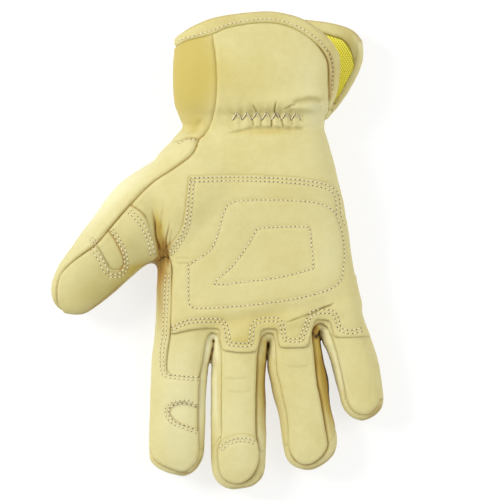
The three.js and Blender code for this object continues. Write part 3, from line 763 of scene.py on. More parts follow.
INDEX_OVERLAY = [
    [-80, -40], [-56, -30], [-56, -9], [-51, -5.6], [-44, -5.2], [-42.8, -16.5], [-43.5, -41.8],
    [-45, -54.5], [-45.8, -64], [-43.5, -68.5], [-27.7, -69.9], [-28.4, -75.4], [-28.4, -93],
    [-28.4, -113.5], [-31.2, -118.2], [-36, -121.6], [-41.5, -120.4], [-47.9, -117.7],
    [-53.4, -113.2], [-55.8, -109], [-80, -103],
]
INDEX_WINDOW = [
    [-20, -87.5], [-28.5, -86.6], [-35.2, -84.2], [-40.3, -84.5], [-43.7, -86.6], [-44.3, -88.8],
    [-42, -92.5], [-37, -95.5], [-28.5, -98.5], [-20, -98.5],
]
THUMB_OVERLAY = [
    [-65.2, 24.6], [-60.2, 21.5], [-57.2, 18], [-53, 6], [-49.7, -2.8], [-46, -22], [-80, -50],
    [-100, -50], [-102.4, -33.5], [-104.9, -29], [-105.4, -22], [-104.4, -16.2], [-101.4, -11],
    [-93.6, -4.2], [-84, 2.6], [-74.4, 13.6],
]
THUMB_WINDOW = [
    [-90, 8], [-84.2, 3], [-79.2, -5.2], [-76.5, -10], [-71.2, -10.5], [-69.3, -8],
    [-69.4, -4.2], [-71.4, 0.6], [-74.2, 6.2], [-77.2, 10.2], [-80, 16],
]
TIP_CAP = [
    [-17.5, -107.8], [-14.3, -103.7], [-8, -101.5], [-2.2, -101], [2.6, -103.1], [4.6, -109.5],
    [4.4, -116.5], [0.7, -124], [-5.7, -128], [-10.5, -128], [-15, -125], [-17, -118.3],
]


def below(height):
    """The region below a height."""
    return outside(above(height))


def either(*regions):
    """Regions joined: outside the overlap of their outsides."""
    return outside(both(*(outside(r) for r in regions)))


def chain(*paths):
    """A closed outline from lines that are each smoothed by themselves. Lines of up to four points
    stay straight."""
    lines = [spline(path, 4) if len(path) > 4 else np.array(path, float) for path in paths]
    return Outline(np.vstack(lines), 1)


def backwards(path):
    """The line from its last point to its first."""
    return path[::-1]


flap_edge = chain(CUFF_FLAP_EDGE, AROUND_HAND)
flap_band = chain(CUFF_FLAP_BAND, AROUND_HAND)
back_edge = chain(CUFF_BACK_EDGE, AROUND_HAND)
back_band = chain(CUFF_BACK_BAND, AROUND_HAND)
slit_space = both(Outline(SLIT, 1), above(BACK_HEIGHT), below(FLAP_END))
side_band = either(
    both(Outline(SLIT_SIDE, 1), above(BACK_HEIGHT - SIDE_BAND), below(BACK_HEIGHT)),
    both(Outline(SLIT_FOOT, 1), above(BACK_HEIGHT - SIDE_BAND), below(FLAP_END)),
)
leather_space = both(
    either(both(flap_band, above(FLAP_HEIGHT)), both(back_band, below(FLAP_HEIGHT))),
    outside(side_band),
    outside(slit_space),
)
binding_space = both(
    either(
        both(flap_edge, outside(flap_band), above(FLAP_HEIGHT)),
        both(back_edge, outside(back_band), below(FLAP_HEIGHT)),
        both(side_band, back_edge),
    ),
    outside(slit_space),
)
palm_space = both(
    chain(
        backwards(CUFF_SEAM), PAST_CUFF, backwards(LITTLE_TIP), backwards(LITTLE_LEFT),
        backwards(RING_RIGHT), backwards(RING_LEFT), backwards(MIDDLE_RIGHT),
        backwards(MIDDLE_LEFT), backwards(INDEX_RIGHT), backwards(INDEX_TIP), PAST_INDEX,
        backwards(THUMB_SEAM),
    ),
    above(SIDE_SEAM),
    outside(both(Outline(THUMB_ZONE, 1), below(THUMB_SIDE_SEAM))),
)
thumb_back_space = both(
    chain(THUMB_STRIP_TOP, THUMB_SEAM, PAST_THUMB), above(THUMB_SIDE_SEAM)
)
GUSSETS = {
    "index_middle": chain(INDEX_RIGHT, MIDDLE_LEFT[:5], [GUSSET_TIPS["index_middle"]]),
    "middle_ring": chain(MIDDLE_RIGHT[5:], RING_LEFT[:6], [GUSSET_TIPS["middle_ring"]]),
    "ring_little": chain(RING_RIGHT[4:], LITTLE_LEFT[:5], [GUSSET_TIPS["ring_little"]]),
}
OVERLAY_SPACES = {
    "palm_overlay": both(Outline(PALM_OVERLAY, 3), above(OVERLAY_EDGE)),
    "index_overlay": both(
        Outline(INDEX_OVERLAY, 3),
        above(OVERLAY_EDGE),
        outside(Outline(INDEX_WINDOW, 3)),
        outside(Outline(PALM_OVERLAY, 3)),
    ),
    "thumb_overlay": both(
        Outline(THUMB_OVERLAY, 3),
        above(OVERLAY_EDGE),
        outside(Outline(THUMB_WINDOW, 3)),
        outside(Outline(INDEX_OVERLAY, 3)),
    ),
    "middle_tip_cap": both(Outline(TIP_CAP, 3), above(OVERLAY_EDGE)),
}

# Lines where the second layers' edges show on the palm side, and how dark each is painted, a
# painted shade along the edge
LAYER_EDGES = [
    (PALM_TOP, 0.15), (PALM_SCALLOPS[2:], 0.4), (PALM_LEFT[5:] + PALM_TOP[:1], 0.3),
    (INDEX_OVERLAY[3:10], 0.35), (INDEX_WINDOW[1:-1], 0.3), (THUMB_OVERLAY[:3], 0.6),
    (THUMB_OVERLAY[2:5], 0.2), (THUMB_WINDOW[4:10], 0.7), (THUMB_WINDOW[1:5], 0.25),
    (TIP_CAP[:6], 0.25),
]

# Stitching in plan: the line, the distances of its rows to the line's left, and the radius of its
# needle holes
STITCHES = {
    "palm_overlay": [
        ([[-32.3, 39.2], [-10, 40], [15.3, 39.2], [36.3, 37], [47.3, 32], [49.5, 19.2],
          [51.5, 13.8]], (0, -2.1), 0.44),
        ([[-32.7, 38], [-35.2, 15.1], [-40.3, 4.2], [-44.5, -1.7]], (0, 2.1), 0.44),
        ([[-42.4, -44], [-33, -40.2], [-19.2, -39.3], [-14.9, -41], [-13.2, -46], [-12, -51.5],
          [-8.5, -52.8], [-0.5, -52.8], [1.2, -50], [2, -43.5], [4.5, -40], [14.5, -39.2],
          [17, -42.5], [18, -48], [20.4, -50.2], [28, -50.2], [29.7, -46.8], [31.4, -42.5],
          [33.8, -36], [38.2, -34.6], [44.7, -35], [46.8, -38], [47.8, -42.1], [49.8, -44.7],
          [55.5, -46], [61, -44.8]], (0, 1.9), 0.44),
        ([[-12.5, 24.5], [-5.8, 27], [15.3, 27.3], [32, 26.5], [40.5, 24.5], [46.5, 20.2],
          [49.8, 11], [51.5, 0], [51, -10], [49, -17.5], [40.5, -22.7], [23.7, -27],
          [-1.7, -30.3], [-27, -32], [-32, -30.8], [-33.5, -27], [-33.5, -10], [-32.3, -7.5],
          [-22.5, -0.8], [-18.5, 6], [-15, 18.5], [-12.5, 24.5]], (0,), 0.44),
        ([[3.5, 11], [8.5, 12.2], [30.5, 12.7], [33, 10], [33.8, 2.5], [34.7, -9.4], [32, -11],
          [15.3, -15.2], [-1.7, -17.3], [-17.5, -19], [-18.5, -16.8], [-10, -9.2], [-1.7, 1.7],
          [3.5, 11]], (0,), 0.44),
    ],
    "index_overlay": [
        ([[-46, -13], [-46.6, -27.5], [-47.4, -44], [-48.7, -55], [-48.6, -66], [-46.5, -69.6],
          [-40.7, -70.6], [-31.5, -71.4], [-29, -71.6]], (0, 1.8), 0.34),
        ([[-29.5, -84.7], [-33, -82.9], [-36.9, -82.4], [-42.2, -83.4], [-46, -86.6],
          [-46, -91.3], [-42.2, -95.6], [-35.8, -98.2], [-30, -100.6]], (0, 1.7), 0.34),
    ],
    "thumb_overlay": [
        ([[-64.8, 21.6], [-62.3, 19.4], [-59, 15.8], [-56, 10.4], [-53.6, 4.5], [-52.4, -2]],
         (0, -2.2), 0.38),
        ([[-74.5, 11], [-70.4, 5.1], [-67.9, -0.3], [-67.1, -6.2], [-67.9, -11], [-72, -14.6],
          [-77.5, -14.6]], (0, -1.7), 0.38),
        ([[-87, 0], [-82.8, -5.6], [-81.1, -9.8], [-79.2, -13]], (0, 2.2), 0.38),
    ],
    "middle_tip_cap": [
        ([[-16.4, -108.6], [-13, -105.5], [-8, -103.6], [-2.4, -103.2], [2.2, -104.8]],
         (0, -1.8), 0.33),
    ],
    "cuff_binding": [
        ([[-39.5, 114.6], [-21, 119.8], [-11, 123.4], [8.2, 126.2], [23, 123.4], [36.8, 115.2],
          [44.2, 105.6], [45.4, 97.9], [45, 90.8], [44.7, 85.5]], (0,), 0.3),
    ],
    "thumb_back": [
        ([[-39, 58.6], [-34, 60.6], [-30, 60.2]], (0,), 0.33),
        ([[-87.5, 5.5], [-84.2, 2.8]], (0, 1.6), 0.33),
    ],
}
STITCH_PITCH = 2.4
STITCH_GAP = 0.17  # share of the pitch between a needle hole and the thread's end
STITCH_RISE = 0.3  # how high a stitch stands
THREAD = 0.34  # radius of the sewing thread

# A needle hole's rim, top and bottom, from the leather's face
HOLE_RIM = 0.04
HOLE_TOP = 0.13
HOLE_DEEP = 0.2

# The elastic that gathers the wrist: a zigzag row and the pleats that it draws up
ZIGZAG_FROM, ZIGZAG_TO = [-9.9, 72.9], [27.6, 72.9]
ZIGZAG_HIGH = 4.3  # width of the zigzag
ZIGZAG_PITCH = 5.3
ZIGZAG_THREAD = 0.3
ZIGZAG_RISE = 0.42
ZIGZAG_HOLE = 0.34
# A painted shadow beside the zigzag's thread, built as a thread in the needle holes' colour
SHADOW_THREAD_BESIDE = [0.4, -0.25]
SHADOW_THREAD = 0.27
SHADOW_THREAD_RISE = 0.16

FRONT_SEAMS = [  # each with its strength, which it reaches after a tenth of its length
    (CUFF_SEAM[1:5], 0.5),
    (CUFF_SEAM[4:] + THUMB_SEAM[1:], 0.9),
    (INDEX_TIP + INDEX_RIGHT[1:] + MIDDLE_LEFT[:1], 0.9),
    (MIDDLE_LEFT, 0.35),
    (MIDDLE_LEFT[-4:] + MIDDLE_RIGHT[1:] + RING_LEFT[:1], 0.95),
    (RING_LEFT, 0.35),
    (RING_LEFT[-4:] + RING_RIGHT[1:] + LITTLE_LEFT[:1], 1.0),
    (LITTLE_LEFT + LITTLE_TIP[1:4], 0.75),
    (THUMB_STRIP_TOP + [THUMB_SEAM[0]], 0.8),
]
# Round these places, where a strip between fingers runs out into the fingertip, no seam shows
SEAMLESS = [
    [-26.5, -110, 6, 6, 0, 1.7], [-18, -107, 7, 7, 0, 1.8], [7.5, -110, 6, 6, 0, 1.7],
    [17, -109.5, 7, 7, 0, 1.8], [45, -106.5, 7, 7, 0, 1.8], [50.5, -88, 7, 7, 0, 1.8],
]
# Near these lines the net is twice as fine
FINE_LINES = [crease[0] for crease in CREASES if crease[1] < 0.8]
FINE_REACH = 1.6

# A seam turns in, with a low ridge beside it, and is painted brown at its bottom, a painted shade
# in the turn
SEAM_DEEP = 1.0
SEAM_WIDE = 0.8
SEAM_RIDGE = 0.3  # height of the ridge
RIDGE_AWAY = 2.0  # its distance from the seam
RIDGE_WIDE = 1.1
SEAM_START = 0.35  # share of its strength with which a seam begins
SEAM_BROWN = 0.6
SEAM_BROWN_WIDE = 0.6
LAYER_EDGE_WIDE = 0.7  # width of the brown line along a second layer's edge, a painted shade
SIDE_SEAM_DEEP = 0.5  # share of its depth that a seam has on the glove's sides
SIDE_SEAM_BROWN = 0.4
SEAM_LEFT = 0.55  # share of the wall's thickness left at a seam
SEAMLESS_MORE = 0.43  # and how much more where no seam shows
EDGE_LEFT = 0.25  # share left at a free edge
SHAVED = 0.3  # share of a second layer's thickness where it turns round a side

# Swells and ripples over the whole glove: wavelengths, height and the seed of their directions
SWELLS = [(31, 24, 19, 14, 11), 0.34, 3]
RIPPLES = [(9.2, 7.9, 6.6, 5.7, 5.1), 0.09, 8]

# Pleats across the gathered line, and the leather drawn in along stitched rows; their brown is
# painted shade in the hollows
PLEAT_DEEP = 1.1
PLEAT_LONG = 6.0
PLEAT_BROWN = 0.25
QUILT_DEEP = 0.4
QUILT_WIDE = 1.1
QUILT_BROWN = 0.14
QUILT_BROWN_WIDE = 0.9


def waves(points, sizes, height, seed):
    """Sum of sine waves with the given wavelengths, in directions drawn once from the seed."""
    draw = np.random.default_rng(seed)
    total = np.zeros(len(points))
    for size in sizes:
        direction = draw.normal(size=3)
        direction /= np.linalg.norm(direction)
        total += np.sin(2 * np.pi * (points @ direction) / size + draw.uniform(0, 2 * np.pi))
    return height * total / len(sizes)


def patches(points, rows):
    """Sum of amount * exp(-(along/long)^2 - (across/wide)^2) over a table of patches."""
    total = np.zeros(len(points))
    for at_x, at_y, long, wide, turn, amount in rows:
        turn = np.radians(turn)
        x, y = points[:, 0] - at_x, points[:, 1] - at_y
        along, across = x * np.cos(turn) + y * np.sin(turn), y * np.cos(turn) - x * np.sin(turn)
        total += amount * np.exp(-((along / long) ** 2) - (across / wide) ** 2)
    return total


def palm_side(normals):
    """1 where the leather faces up, falling to 0 where it turns round a side."""
    return smooth_step(normals[:, 2], 0.0, 0.6)


def relief(points, normals, quilted=(), edges=False):
    """Height that folds, seams and stitching add to the surface, and how brown and dull they are
    painted, a painted shade in folds, seams, pleats, along stitched rows and beside second layers.

    Creases and seams are exp(-(distance/wide)^2), pleats a raised cosine across the gathered
    line."""
    front = palm_side(normals)
    x, y = points[:, 0], points[:, 1]
    height = waves(points, *SWELLS) + front * patches(points, DENTS)
    height += waves(points, *RIPPLES)
    brown = patches(points, PAINTED_SHADE_BROWN)
    dull = np.zeros(len(points))
    for line, wide, deep, dark, dulled, fades in CREASES:
        distance, _, share = nearest_on(spline(line, 4), points, 4 * wide)
        fade = smooth_step(share, -0.01, fades + 0.01) * smooth_step(-share, -1.01, -0.85) * front
        profile = np.exp(-((distance / wide) ** 2)) * fade
        height -= deep * profile
        brown += dark * profile
        dull = np.maximum(dull, dulled * profile)
    dip, ridge, line_brown = np.zeros((3, len(points)))
    for line, strength in FRONT_SEAMS:
        distance, _, share = nearest_on(spline(line, 4), points, 6.0)
        strength = strength * (SEAM_START + (1 - SEAM_START) * smooth_step(share, 0, 0.1))
        dip = np.maximum(dip, strength * np.exp(-((distance / SEAM_WIDE) ** 2)))
        beside_it = np.exp(-(((distance - RIDGE_AWAY) / RIDGE_WIDE) ** 2))
        ridge = np.maximum(ridge, strength * beside_it)
        bottom = np.exp(-((distance / SEAM_BROWN_WIDE) ** 2))
        line_brown = np.maximum(line_brown, strength**2 * bottom)
    height += front * (SEAM_RIDGE * ridge - SEAM_DEEP * dip)
    brown += SEAM_BROWN * front * line_brown
    edge_brown = np.zeros(len(points))
    for line, dark in LAYER_EDGES if edges else ():
        distance, _, _ = nearest_on(spline(line, 3), points, 3.0)
        line_there = np.exp(-((distance / LAYER_EDGE_WIDE) ** 2))
        edge_brown = np.maximum(edge_brown, dark * line_there)
    brown += front * edge_brown
    share = (x - ZIGZAG_FROM[0]) / (ZIGZAG_TO[0] - ZIGZAG_FROM[0])
    middle = ZIGZAG_FROM[1] + share * (ZIGZAG_TO[1] - ZIGZAG_FROM[1])
    window = smooth_step(share, -0.12, 0.05) * smooth_step(1 - share, -0.12, 0.05) * front
    pleat = 0.5 + 0.5 * np.cos(2 * np.pi * (x - ZIGZAG_FROM[0]) / ZIGZAG_PITCH)
    uneven = 0.75 + 0.25 * np.sin(0.9 * x)
    pleat *= window * np.exp(-(((y - middle) / PLEAT_LONG) ** 2)) * uneven
    height -= PLEAT_DEEP * pleat
    brown += PLEAT_BROWN * pleat
    for name in quilted:
        for line, rows, _ in STITCHES[name]:
            for shift in rows:
                distance, _, _ = nearest_on(beside(line, shift), points, 4.0)
                height -= QUILT_DEEP * np.exp(-((distance / QUILT_WIDE) ** 2))
                brown += QUILT_BROWN * np.exp(-((distance / QUILT_BROWN_WIDE) ** 2))
    return height, brown, dull


def seam_profile(distance):
    """A seam: the leather turns in at the line, with a low ridge beside it. Both are bell curves,
    exp(-(distance/wide)^2), the ridge's about the distance RIDGE_AWAY."""
    dip = np.exp(-((distance / SEAM_WIDE) ** 2))
    return SEAM_RIDGE * np.exp(-(((distance - RIDGE_AWAY) / RIDGE_WIDE) ** 2)) - SEAM_DEEP * dip


def beside(line, shift):
    """The smoothed line moved to its left by shift, along its unit normal."""
    path = spline(line, 6)
    step = np.gradient(path, axis=0)
    step /= np.maximum(np.linalg.norm(step, axis=1, keepdims=True), 1e-6)
    return path + shift * np.column_stack([-step[:, 1], step[:, 0]])


def wall_faces(faces, count):
    """The outer layer's triangles, the inner layer's turned round, and two for each side on the
    rim, which is a side that no other triangle runs along the other way."""
    a, b = faces[:, [0, 1, 2]].ravel(), faces[:, [1, 2, 0]].ravel()
    key = a.astype(np.int64) * count + b
    rim = ~np.isin(key, b.astype(np.int64) * count + a)
    a, b = a[rim], b[rim]
    return np.vstack([
        faces,
        faces[:, ::-1] + count,
        np.column_stack([b, a, a + count]),
        np.column_stack([b, a + count, b + count]),
    ])


def finger_sides(points, normals):
    """How far the leather is a finger's or the thumb's side that faces right or to the tips, and
    how far it is the band at a tip's lower right, exp(-((lean - RIM_LEAN) / RIM_WIDE)^2). Both
    weigh painted shade."""
    right, up = normals[:, 0], normals[:, 1]
    away = np.hypot(np.maximum(right, 0), np.maximum(-up, 0))
    fingers = np.maximum(smooth_step(-points[:, 1], 50, 70), smooth_step(-points[:, 0], 60, 75))
    turned = (right - up) / np.maximum(np.hypot(right, up), 1e-9)
    rim = fingers * smooth_step(turned, 0.6, 1.35) * smooth_step(-up, 0.1, 0.4)
    rim *= np.exp(-(((normals[:, 2] - RIM_LEAN) / RIM_WIDE) ** 2))
    return fingers * smooth_step(away, 0.75, 1.0), rim


def shell(net, lift, thick, quilted=(), seamed=True, layered=False, edges=False, shade=None):
    """A closed wall on a net: an outer and an inner layer joined round the edge.

    Both layers follow the relief. Towards the edge the wall thins as a quarter circle does, so the
    edge is rounded. A second layer is shaved thin where it turns round a side."""
    points = settle(net.points, 1)
    normals = normals_at(points)
    front = palm_side(normals)
    height, brown, dull = relief(points, normals, quilted, edges)
    thinnest = EDGE_LEFT
    if seamed:
        smooth = np.clip(patches(points, SEAMLESS), 0, 1)
        thinnest = SEAM_LEFT + SEAMLESS_MORE * smooth
        side = (1 - front) * (1 - smooth)
        height += side * SIDE_SEAM_DEEP * seam_profile(net.edge)
        brown += SIDE_SEAM_BROWN * side * np.exp(-((net.edge / 0.7) ** 2))
    if layered:
        thick = thick * (SHAVED + (1 - SHAVED) * front)
        lift = OVERLAY_GAP + thick
    round_edge = np.sqrt(1 - (1 - np.clip(net.edge / (0.5 * thick), 0, 1)) ** 2)
    half = thick / 2 * (thinnest + (1 - thinnest) * round_edge)
    middle = lift - thick / 2 + height
    outer = points + normals * (middle + half)[:, None]
    inner = points + normals * (middle - half)[:, None]
    outer[:, 2] = np.maximum(outer[:, 2], 0.0)
    inner[:, 2] = np.maximum(inner[:, 2], 0.1)
    sides, rim = finger_sides(points, normals)
    # Painted shade and light: brown and dull where folds, seams, gaps and sides turned from the
    # light lie in shade, and a tint partly the leather's tone, partly painted light
    marks = {
        "fold": brown + TIP_SHADE_BROWN * rim,
        "tone": patches(points, TINT_AND_PAINTED_LIGHT),
        "dim": patches(points, PAINTED_SHADE_DULL) + SHADED_SIDES_DULL * (sides + 2 * rim) + dull,
    }
    for mark, more in (shade(points, normals) if shade else {}).items():
        marks[mark] = marks[mark] + more
    both_layers = {mark: np.tile(values, 2) for mark, values in marks.items()}
    return np.vstack([outer, inner]), wall_faces(net.faces, len(points)), both_layers


def drop_on(plan, lift, quilted):
    """Places on the palm side straight above points in plan, lifted off the surface, and normals.

    Each point walks down by its distance to the glove until it arrives."""
    x, y = plan[:, :1], plan[:, 1:2]
    z = np.full((len(plan), 1), 48.0)
    for _ in range(24):
        z = z - np.maximum(0.9 * glove_field(x, y, z), 0.0)
    points = np.column_stack([x, y, z])
    normals = normals_at(points)
    height, _, _ = relief(points, normals, quilted)
    return points + normals * (height + lift)[:, None], normals


class Value:
    """A number that varies over a surface. Arithmetic on it adds Math nodes to its finish."""

    def __init__(self, finish, socket):
        self.finish = finish
        self.socket = socket

    def math(self, operation, *values):
        """A Math node that works on these values."""
        return self.finish.node("Math", {"operation": operation}, *values)

    def __add__(self, other):
        return self.math("ADD", self, other)

    def __sub__(self, other):
        return self.math("SUBTRACT", self, other)

    def __rsub__(self, other):
        return self.math("SUBTRACT", other, self)

    def __mul__(self, other):
        return self.math("MULTIPLY", self, other)

    __radd__ = __add__
    __rmul__ = __mul__

    def sine(self):
        """The sine of the value in radians."""
        return self.math("SINE", self)

    def between(self, low, high):
        """0 where the value is low, 1 where it is high, smooth between."""
        settings = {"interpolation_type": "SMOOTHSTEP"}
        return self.finish.node("MapRange", settings, self, low, high)


class Finish:
    """A material, its shader and the one method that adds nodes to it."""

    def __init__(self, name, **constants):
        self.material = bpy.data.materials.new(name)
        self.material.use_nodes = True
        self.tree = self.material.node_tree
        self.shader = self.tree.nodes["Principled BSDF"]
        for socket, value in constants.items():
            self.shader.inputs[socket.replace("_", " ")].default_value = value
        where = self.tree.nodes.new("ShaderNodeTexCoord")
        self.object = Value(self, where.outputs["Object"])

    def node(self, kind, settings, *inputs, output=0, **named):
        """Adds a node: its settings first, then the values or links of its sockets, by their order
        or by name."""
        node = self.tree.nodes.new("ShaderNode" + kind)
        for setting, value in settings.items():
            setattr(node, setting, value)
        sockets = [s for s in node.inputs if s.enabled]
        pairs = list(zip(sockets, inputs))
        pairs += [(node.inputs[name.replace("_", " ")], value) for name, value in named.items()]
        for socket, value in pairs:
            if isinstance(value, Value):
                self.tree.links.new(value.socket, socket)
            else:
                socket.default_value = value
        shown = [s for s in node.outputs if s.enabled]
        return Value(self, shown[output] if isinstance(output, int) else node.outputs[output])

    def noise(self, scale, detail=3.0, roughness=0.5):
        """Cloudy noise in space, with so many finer layers, each weaker by the roughness."""
        settings = {"noise_dimensions": "3D"}
        return self.node(
            "TexNoise", settings, Vector=self.object, Scale=scale, Detail=detail,
            Roughness=roughness,
        )

    def cells(self, scale, feature):
        """Distance to the nearest of scattered points, or to the border between their cells."""
        return self.node("TexVoronoi", {"feature": feature}, Vector=self.object, Scale=scale)

    def attribute(self, name):
        """A mark that the mesh carries on its points."""
        return self.node("Attribute", {"attribute_name": name}, output="Fac")

    def mix(self, share, first, second):
        """Colours blended from the first to the second."""
        settings = {"data_type": "RGBA"}
        return self.node("Mix", settings, share, first, second)

    def wear(self, colour, roughness, height, strength, distance):
        """Links the colour, the roughness and a bumped normal to the shader."""
        bump = self.node("Bump", {}, Strength=strength, Distance=distance, Height=height)
        for socket, value in (("Base Color", colour), ("Roughness", roughness), ("Normal", bump)):
            self.tree.links.new(value.socket, self.shader.inputs[socket])


MESH_PITCH = 0.0021  # of the lining's holes, in metres
# How fine the patterns are, in cells or waves a metre
CLOUDS = 38.0
MOTTLE = 260.0
WRINKLES = 420.0
GRAIN = 2100.0
FUZZ = 2400.0
TWIST = 3200.0
PORES = 4200.0


def linear(red, green, blue):
    """A screen colour, 0 to 255, as the linear colour that a shader takes."""
    share = np.array([red, green, blue]) / 255
    low, high = share / 12.92, ((share + 0.055) / 1.055) ** 2.4
    return (*np.where(share <= 0.04045, low, high).tolist(), 1.0)


BROWN = linear(160, 118, 38)
OCHRE = linear(204, 184, 90)
IVORY = linear(236, 232, 186)
UMBER = linear(56, 38, 14)
DULL = linear(150, 140, 80)


def leather(name, pale, warm, deep=BROWN):
    """Grain leather: a mottled colour that deepens in folds and browns at their bottom, over a bump
    of creased grain, fine pores and faint wrinkles. The marks on the mesh paint shade and light
    into it: painted shade browns and dulls folds, seams, gaps and sides turned from the light, and
    the tint is partly the leather's tone, partly painted light and shade."""
    finish = Finish(name, Specular_IOR_Level=0.32)
    fold = finish.attribute("fold")
    clouds = finish.noise(CLOUDS, 3.0).between(0.35, 0.68)
    mottle = finish.noise(MOTTLE, 4.0, 0.6)
    grain_cells = finish.cells(GRAIN, "DISTANCE_TO_EDGE").between(0.0, 0.14)
    pores = finish.cells(PORES, "F1").between(0.0, 0.35)
    wrinkles = finish.noise(WRINKLES, 5.0, 0.62)
    tone = finish.attribute("tone")
    colour = finish.mix(clouds * 0.5 + mottle.between(0.3, 0.75) * 0.35, pale, warm)
    colour = finish.mix(tone.between(0.0, 1.0), colour, OCHRE)
    colour = finish.mix((0 - tone).between(0.0, 1.0), colour, IVORY)
    colour = finish.mix(finish.attribute("dim"), colour, DULL)
    colour = finish.mix((1 - grain_cells) * 0.1 + (1 - pores) * 0.05, colour, deep)
    colour = finish.mix(fold.between(0.0, 1.0) * 0.9, colour, deep)
    colour = finish.mix(fold.between(0.95, 2.0), colour, UMBER)
    roughness = 0.5 + mottle * 0.14 - grain_cells * 0.05
    height = grain_cells * 0.45 + pores * 0.12 + wrinkles * 0.9
    finish.wear(colour, roughness, height, 0.35, 0.00035)
    return finish.material


def thread(name, light, dark):
    """Twisted sewing thread: fine noise raises it, and it is darker where it is raised."""
    finish = Finish(name, Specular_IOR_Level=0.3, Sheen_Weight=0.15)
    twist = finish.noise(TWIST, 2.0)
    colour = finish.mix(twist.between(0.35, 0.65), light, dark)
    finish.wear(colour, 0.6 + twist * 0.15, twist, 0.5, 0.0001)
    return finish.material


def mesh_fabric(name, light, dark):
    """Knitted lining: holes where sine(x + z) * sine(y) is high, so that every other row of them is
    set over by half a step. It glows a little, a painted light that brightens it in the cuff's
    shade."""
    finish = Finish(
        name, Specular_IOR_Level=0.25, Sheen_Weight=0.2, Emission_Color=light,
        Emission_Strength=0.15,
    )
    split = finish.node("SeparateXYZ", {}, finish.object)
    axes = split.socket.node.outputs
    x, y, z = (Value(finish, axes[i]) for i in range(3))
    step = 2 * np.pi / MESH_PITCH
    across = ((x + z) * step).sine()
    along = (y * step).sine()
    holes = (across * along).between(0.15, 0.55)
    fuzz = finish.noise(FUZZ, 3.0)
    colour = finish.mix(holes * 0.8 + fuzz * 0.15, light, dark)
    finish.wear(colour, 0.8 + fuzz * 0.1, (1 - holes) + fuzz * 0.3, 0.8, 0.0004)
    return finish.material


grain_leather = leather("grain_leather", linear(221, 212, 152), linear(211, 199, 132))
back_leather = leather("back_leather", linear(220, 211, 152), linear(210, 197, 130))
overlay_leather = leather("overlay_leather", linear(219, 210, 150), linear(210, 198, 131))
gusset_leather = leather("gusset_leather", linear(220, 209, 148), linear(209, 195, 127))
binding_leather = leather("binding_leather", linear(217, 206, 142), linear(206, 192, 120))
mesh_lining = mesh_fabric("mesh_lining", linear(252, 244, 92), linear(150, 134, 28))
cream_thread = thread("cream_thread", linear(243, 236, 204), linear(216, 206, 160))
# The dark colour of the needle holes and of the zigzag's shadow thread is painted shade
needle_hole = thread("needle_hole", linear(132, 112, 80), linear(102, 84, 56))


def add_mesh(name, points, faces, material, slot, marks=(), smooth=None):
    """Puts arrays into a mesh, in metres, with marks on its points as attributes. The faces are
    shaded smooth, or only the first of them."""
    mesh = bpy.data.meshes.new(name)
    mesh.vertices.add(len(points))
    mesh.vertices.foreach_set("co", (points * MM).astype(np.float32).ravel())
    mesh.loops.add(faces.size)
    mesh.loops.foreach_set("vertex_index", faces.astype(np.int32).ravel())
    mesh.polygons.add(len(faces))
    mesh.polygons.foreach_set("loop_start", np.arange(len(faces), dtype=np.int32) * faces.shape[1])
    mesh.polygons.foreach_set("use_smooth", np.arange(len(faces)) < (smooth or len(faces)))
    mesh.update(calc_edges=True)
    mesh.validate()
    for mark in marks:
        attribute = mesh.attributes.new(mark, "FLOAT", "POINT")
        attribute.data.foreach_set("value", np.clip(marks[mark], -1, 2).astype(np.float32))
    mesh.materials.append(material)
    piece = bpy.data.objects.new(name, mesh)
    bpy.context.scene.collection.objects.link(piece)
    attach(piece, "root")
    return piece


def add_wall(node, net, material, slot, lift=0.0, thick=LEATHER, **more):
    """A wall that stands for a node of the frame."""
    net = net.refined(FINE_LINES, FINE_REACH)
    points, faces, marks = shell(net, lift, thick, **more)
    piece = add_mesh(node + "_wall", points, faces, material, slot, marks, 2 * len(net.faces))
    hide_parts(node)


def gusset_marks(points, normals):
    """The strips between the fingers are ochre where they face right, dark at the very side and
    paler at the finger roots, but beside the index finger hardly ochre, paler and not dimmed. The
    ochre, the dark and the dimming are painted shade, the paler places painted light."""
    x, y, z = points.T
    finger = np.select([x < INDEX_END, x < MIDDLE_END], GUSSET_SHADE_OCHRE[:2], GUSSET_SHADE_OCHRE[2])
    finger = finger * smooth_step(y, -112, -70)
    right = smooth_step(normals[:, 0], 0.2, 0.8) * finger
    rim = smooth_step(normals[:, 0], 0.86, 1.0) * finger
    root = smooth_step(y, -66, -52) * smooth_step(z, 12, 18)
    index = (x < INDEX_END) * smooth_step(y, -110, -85)
    return {
        "fold": 0.42 * right + 1.2 * rim - 0.3 * root,
        "tone": 0.9 * right - 0.4 * root - 0.5 * index,
        "dim": -SHADED_SIDES_DULL * index,
    }


def cuff_marks(points, normals):
    """Towards the cuff's left side the leather is yellower and duller."""
    x, y, z = points.T
    cuff = smooth_step(y, 54, 86) * smooth_step(-x, 12, 32) * smooth_step(z, 2, 24)
    return {"tone": CUFF_OCHRE * cuff, "dim": CUFF_DULL * cuff}


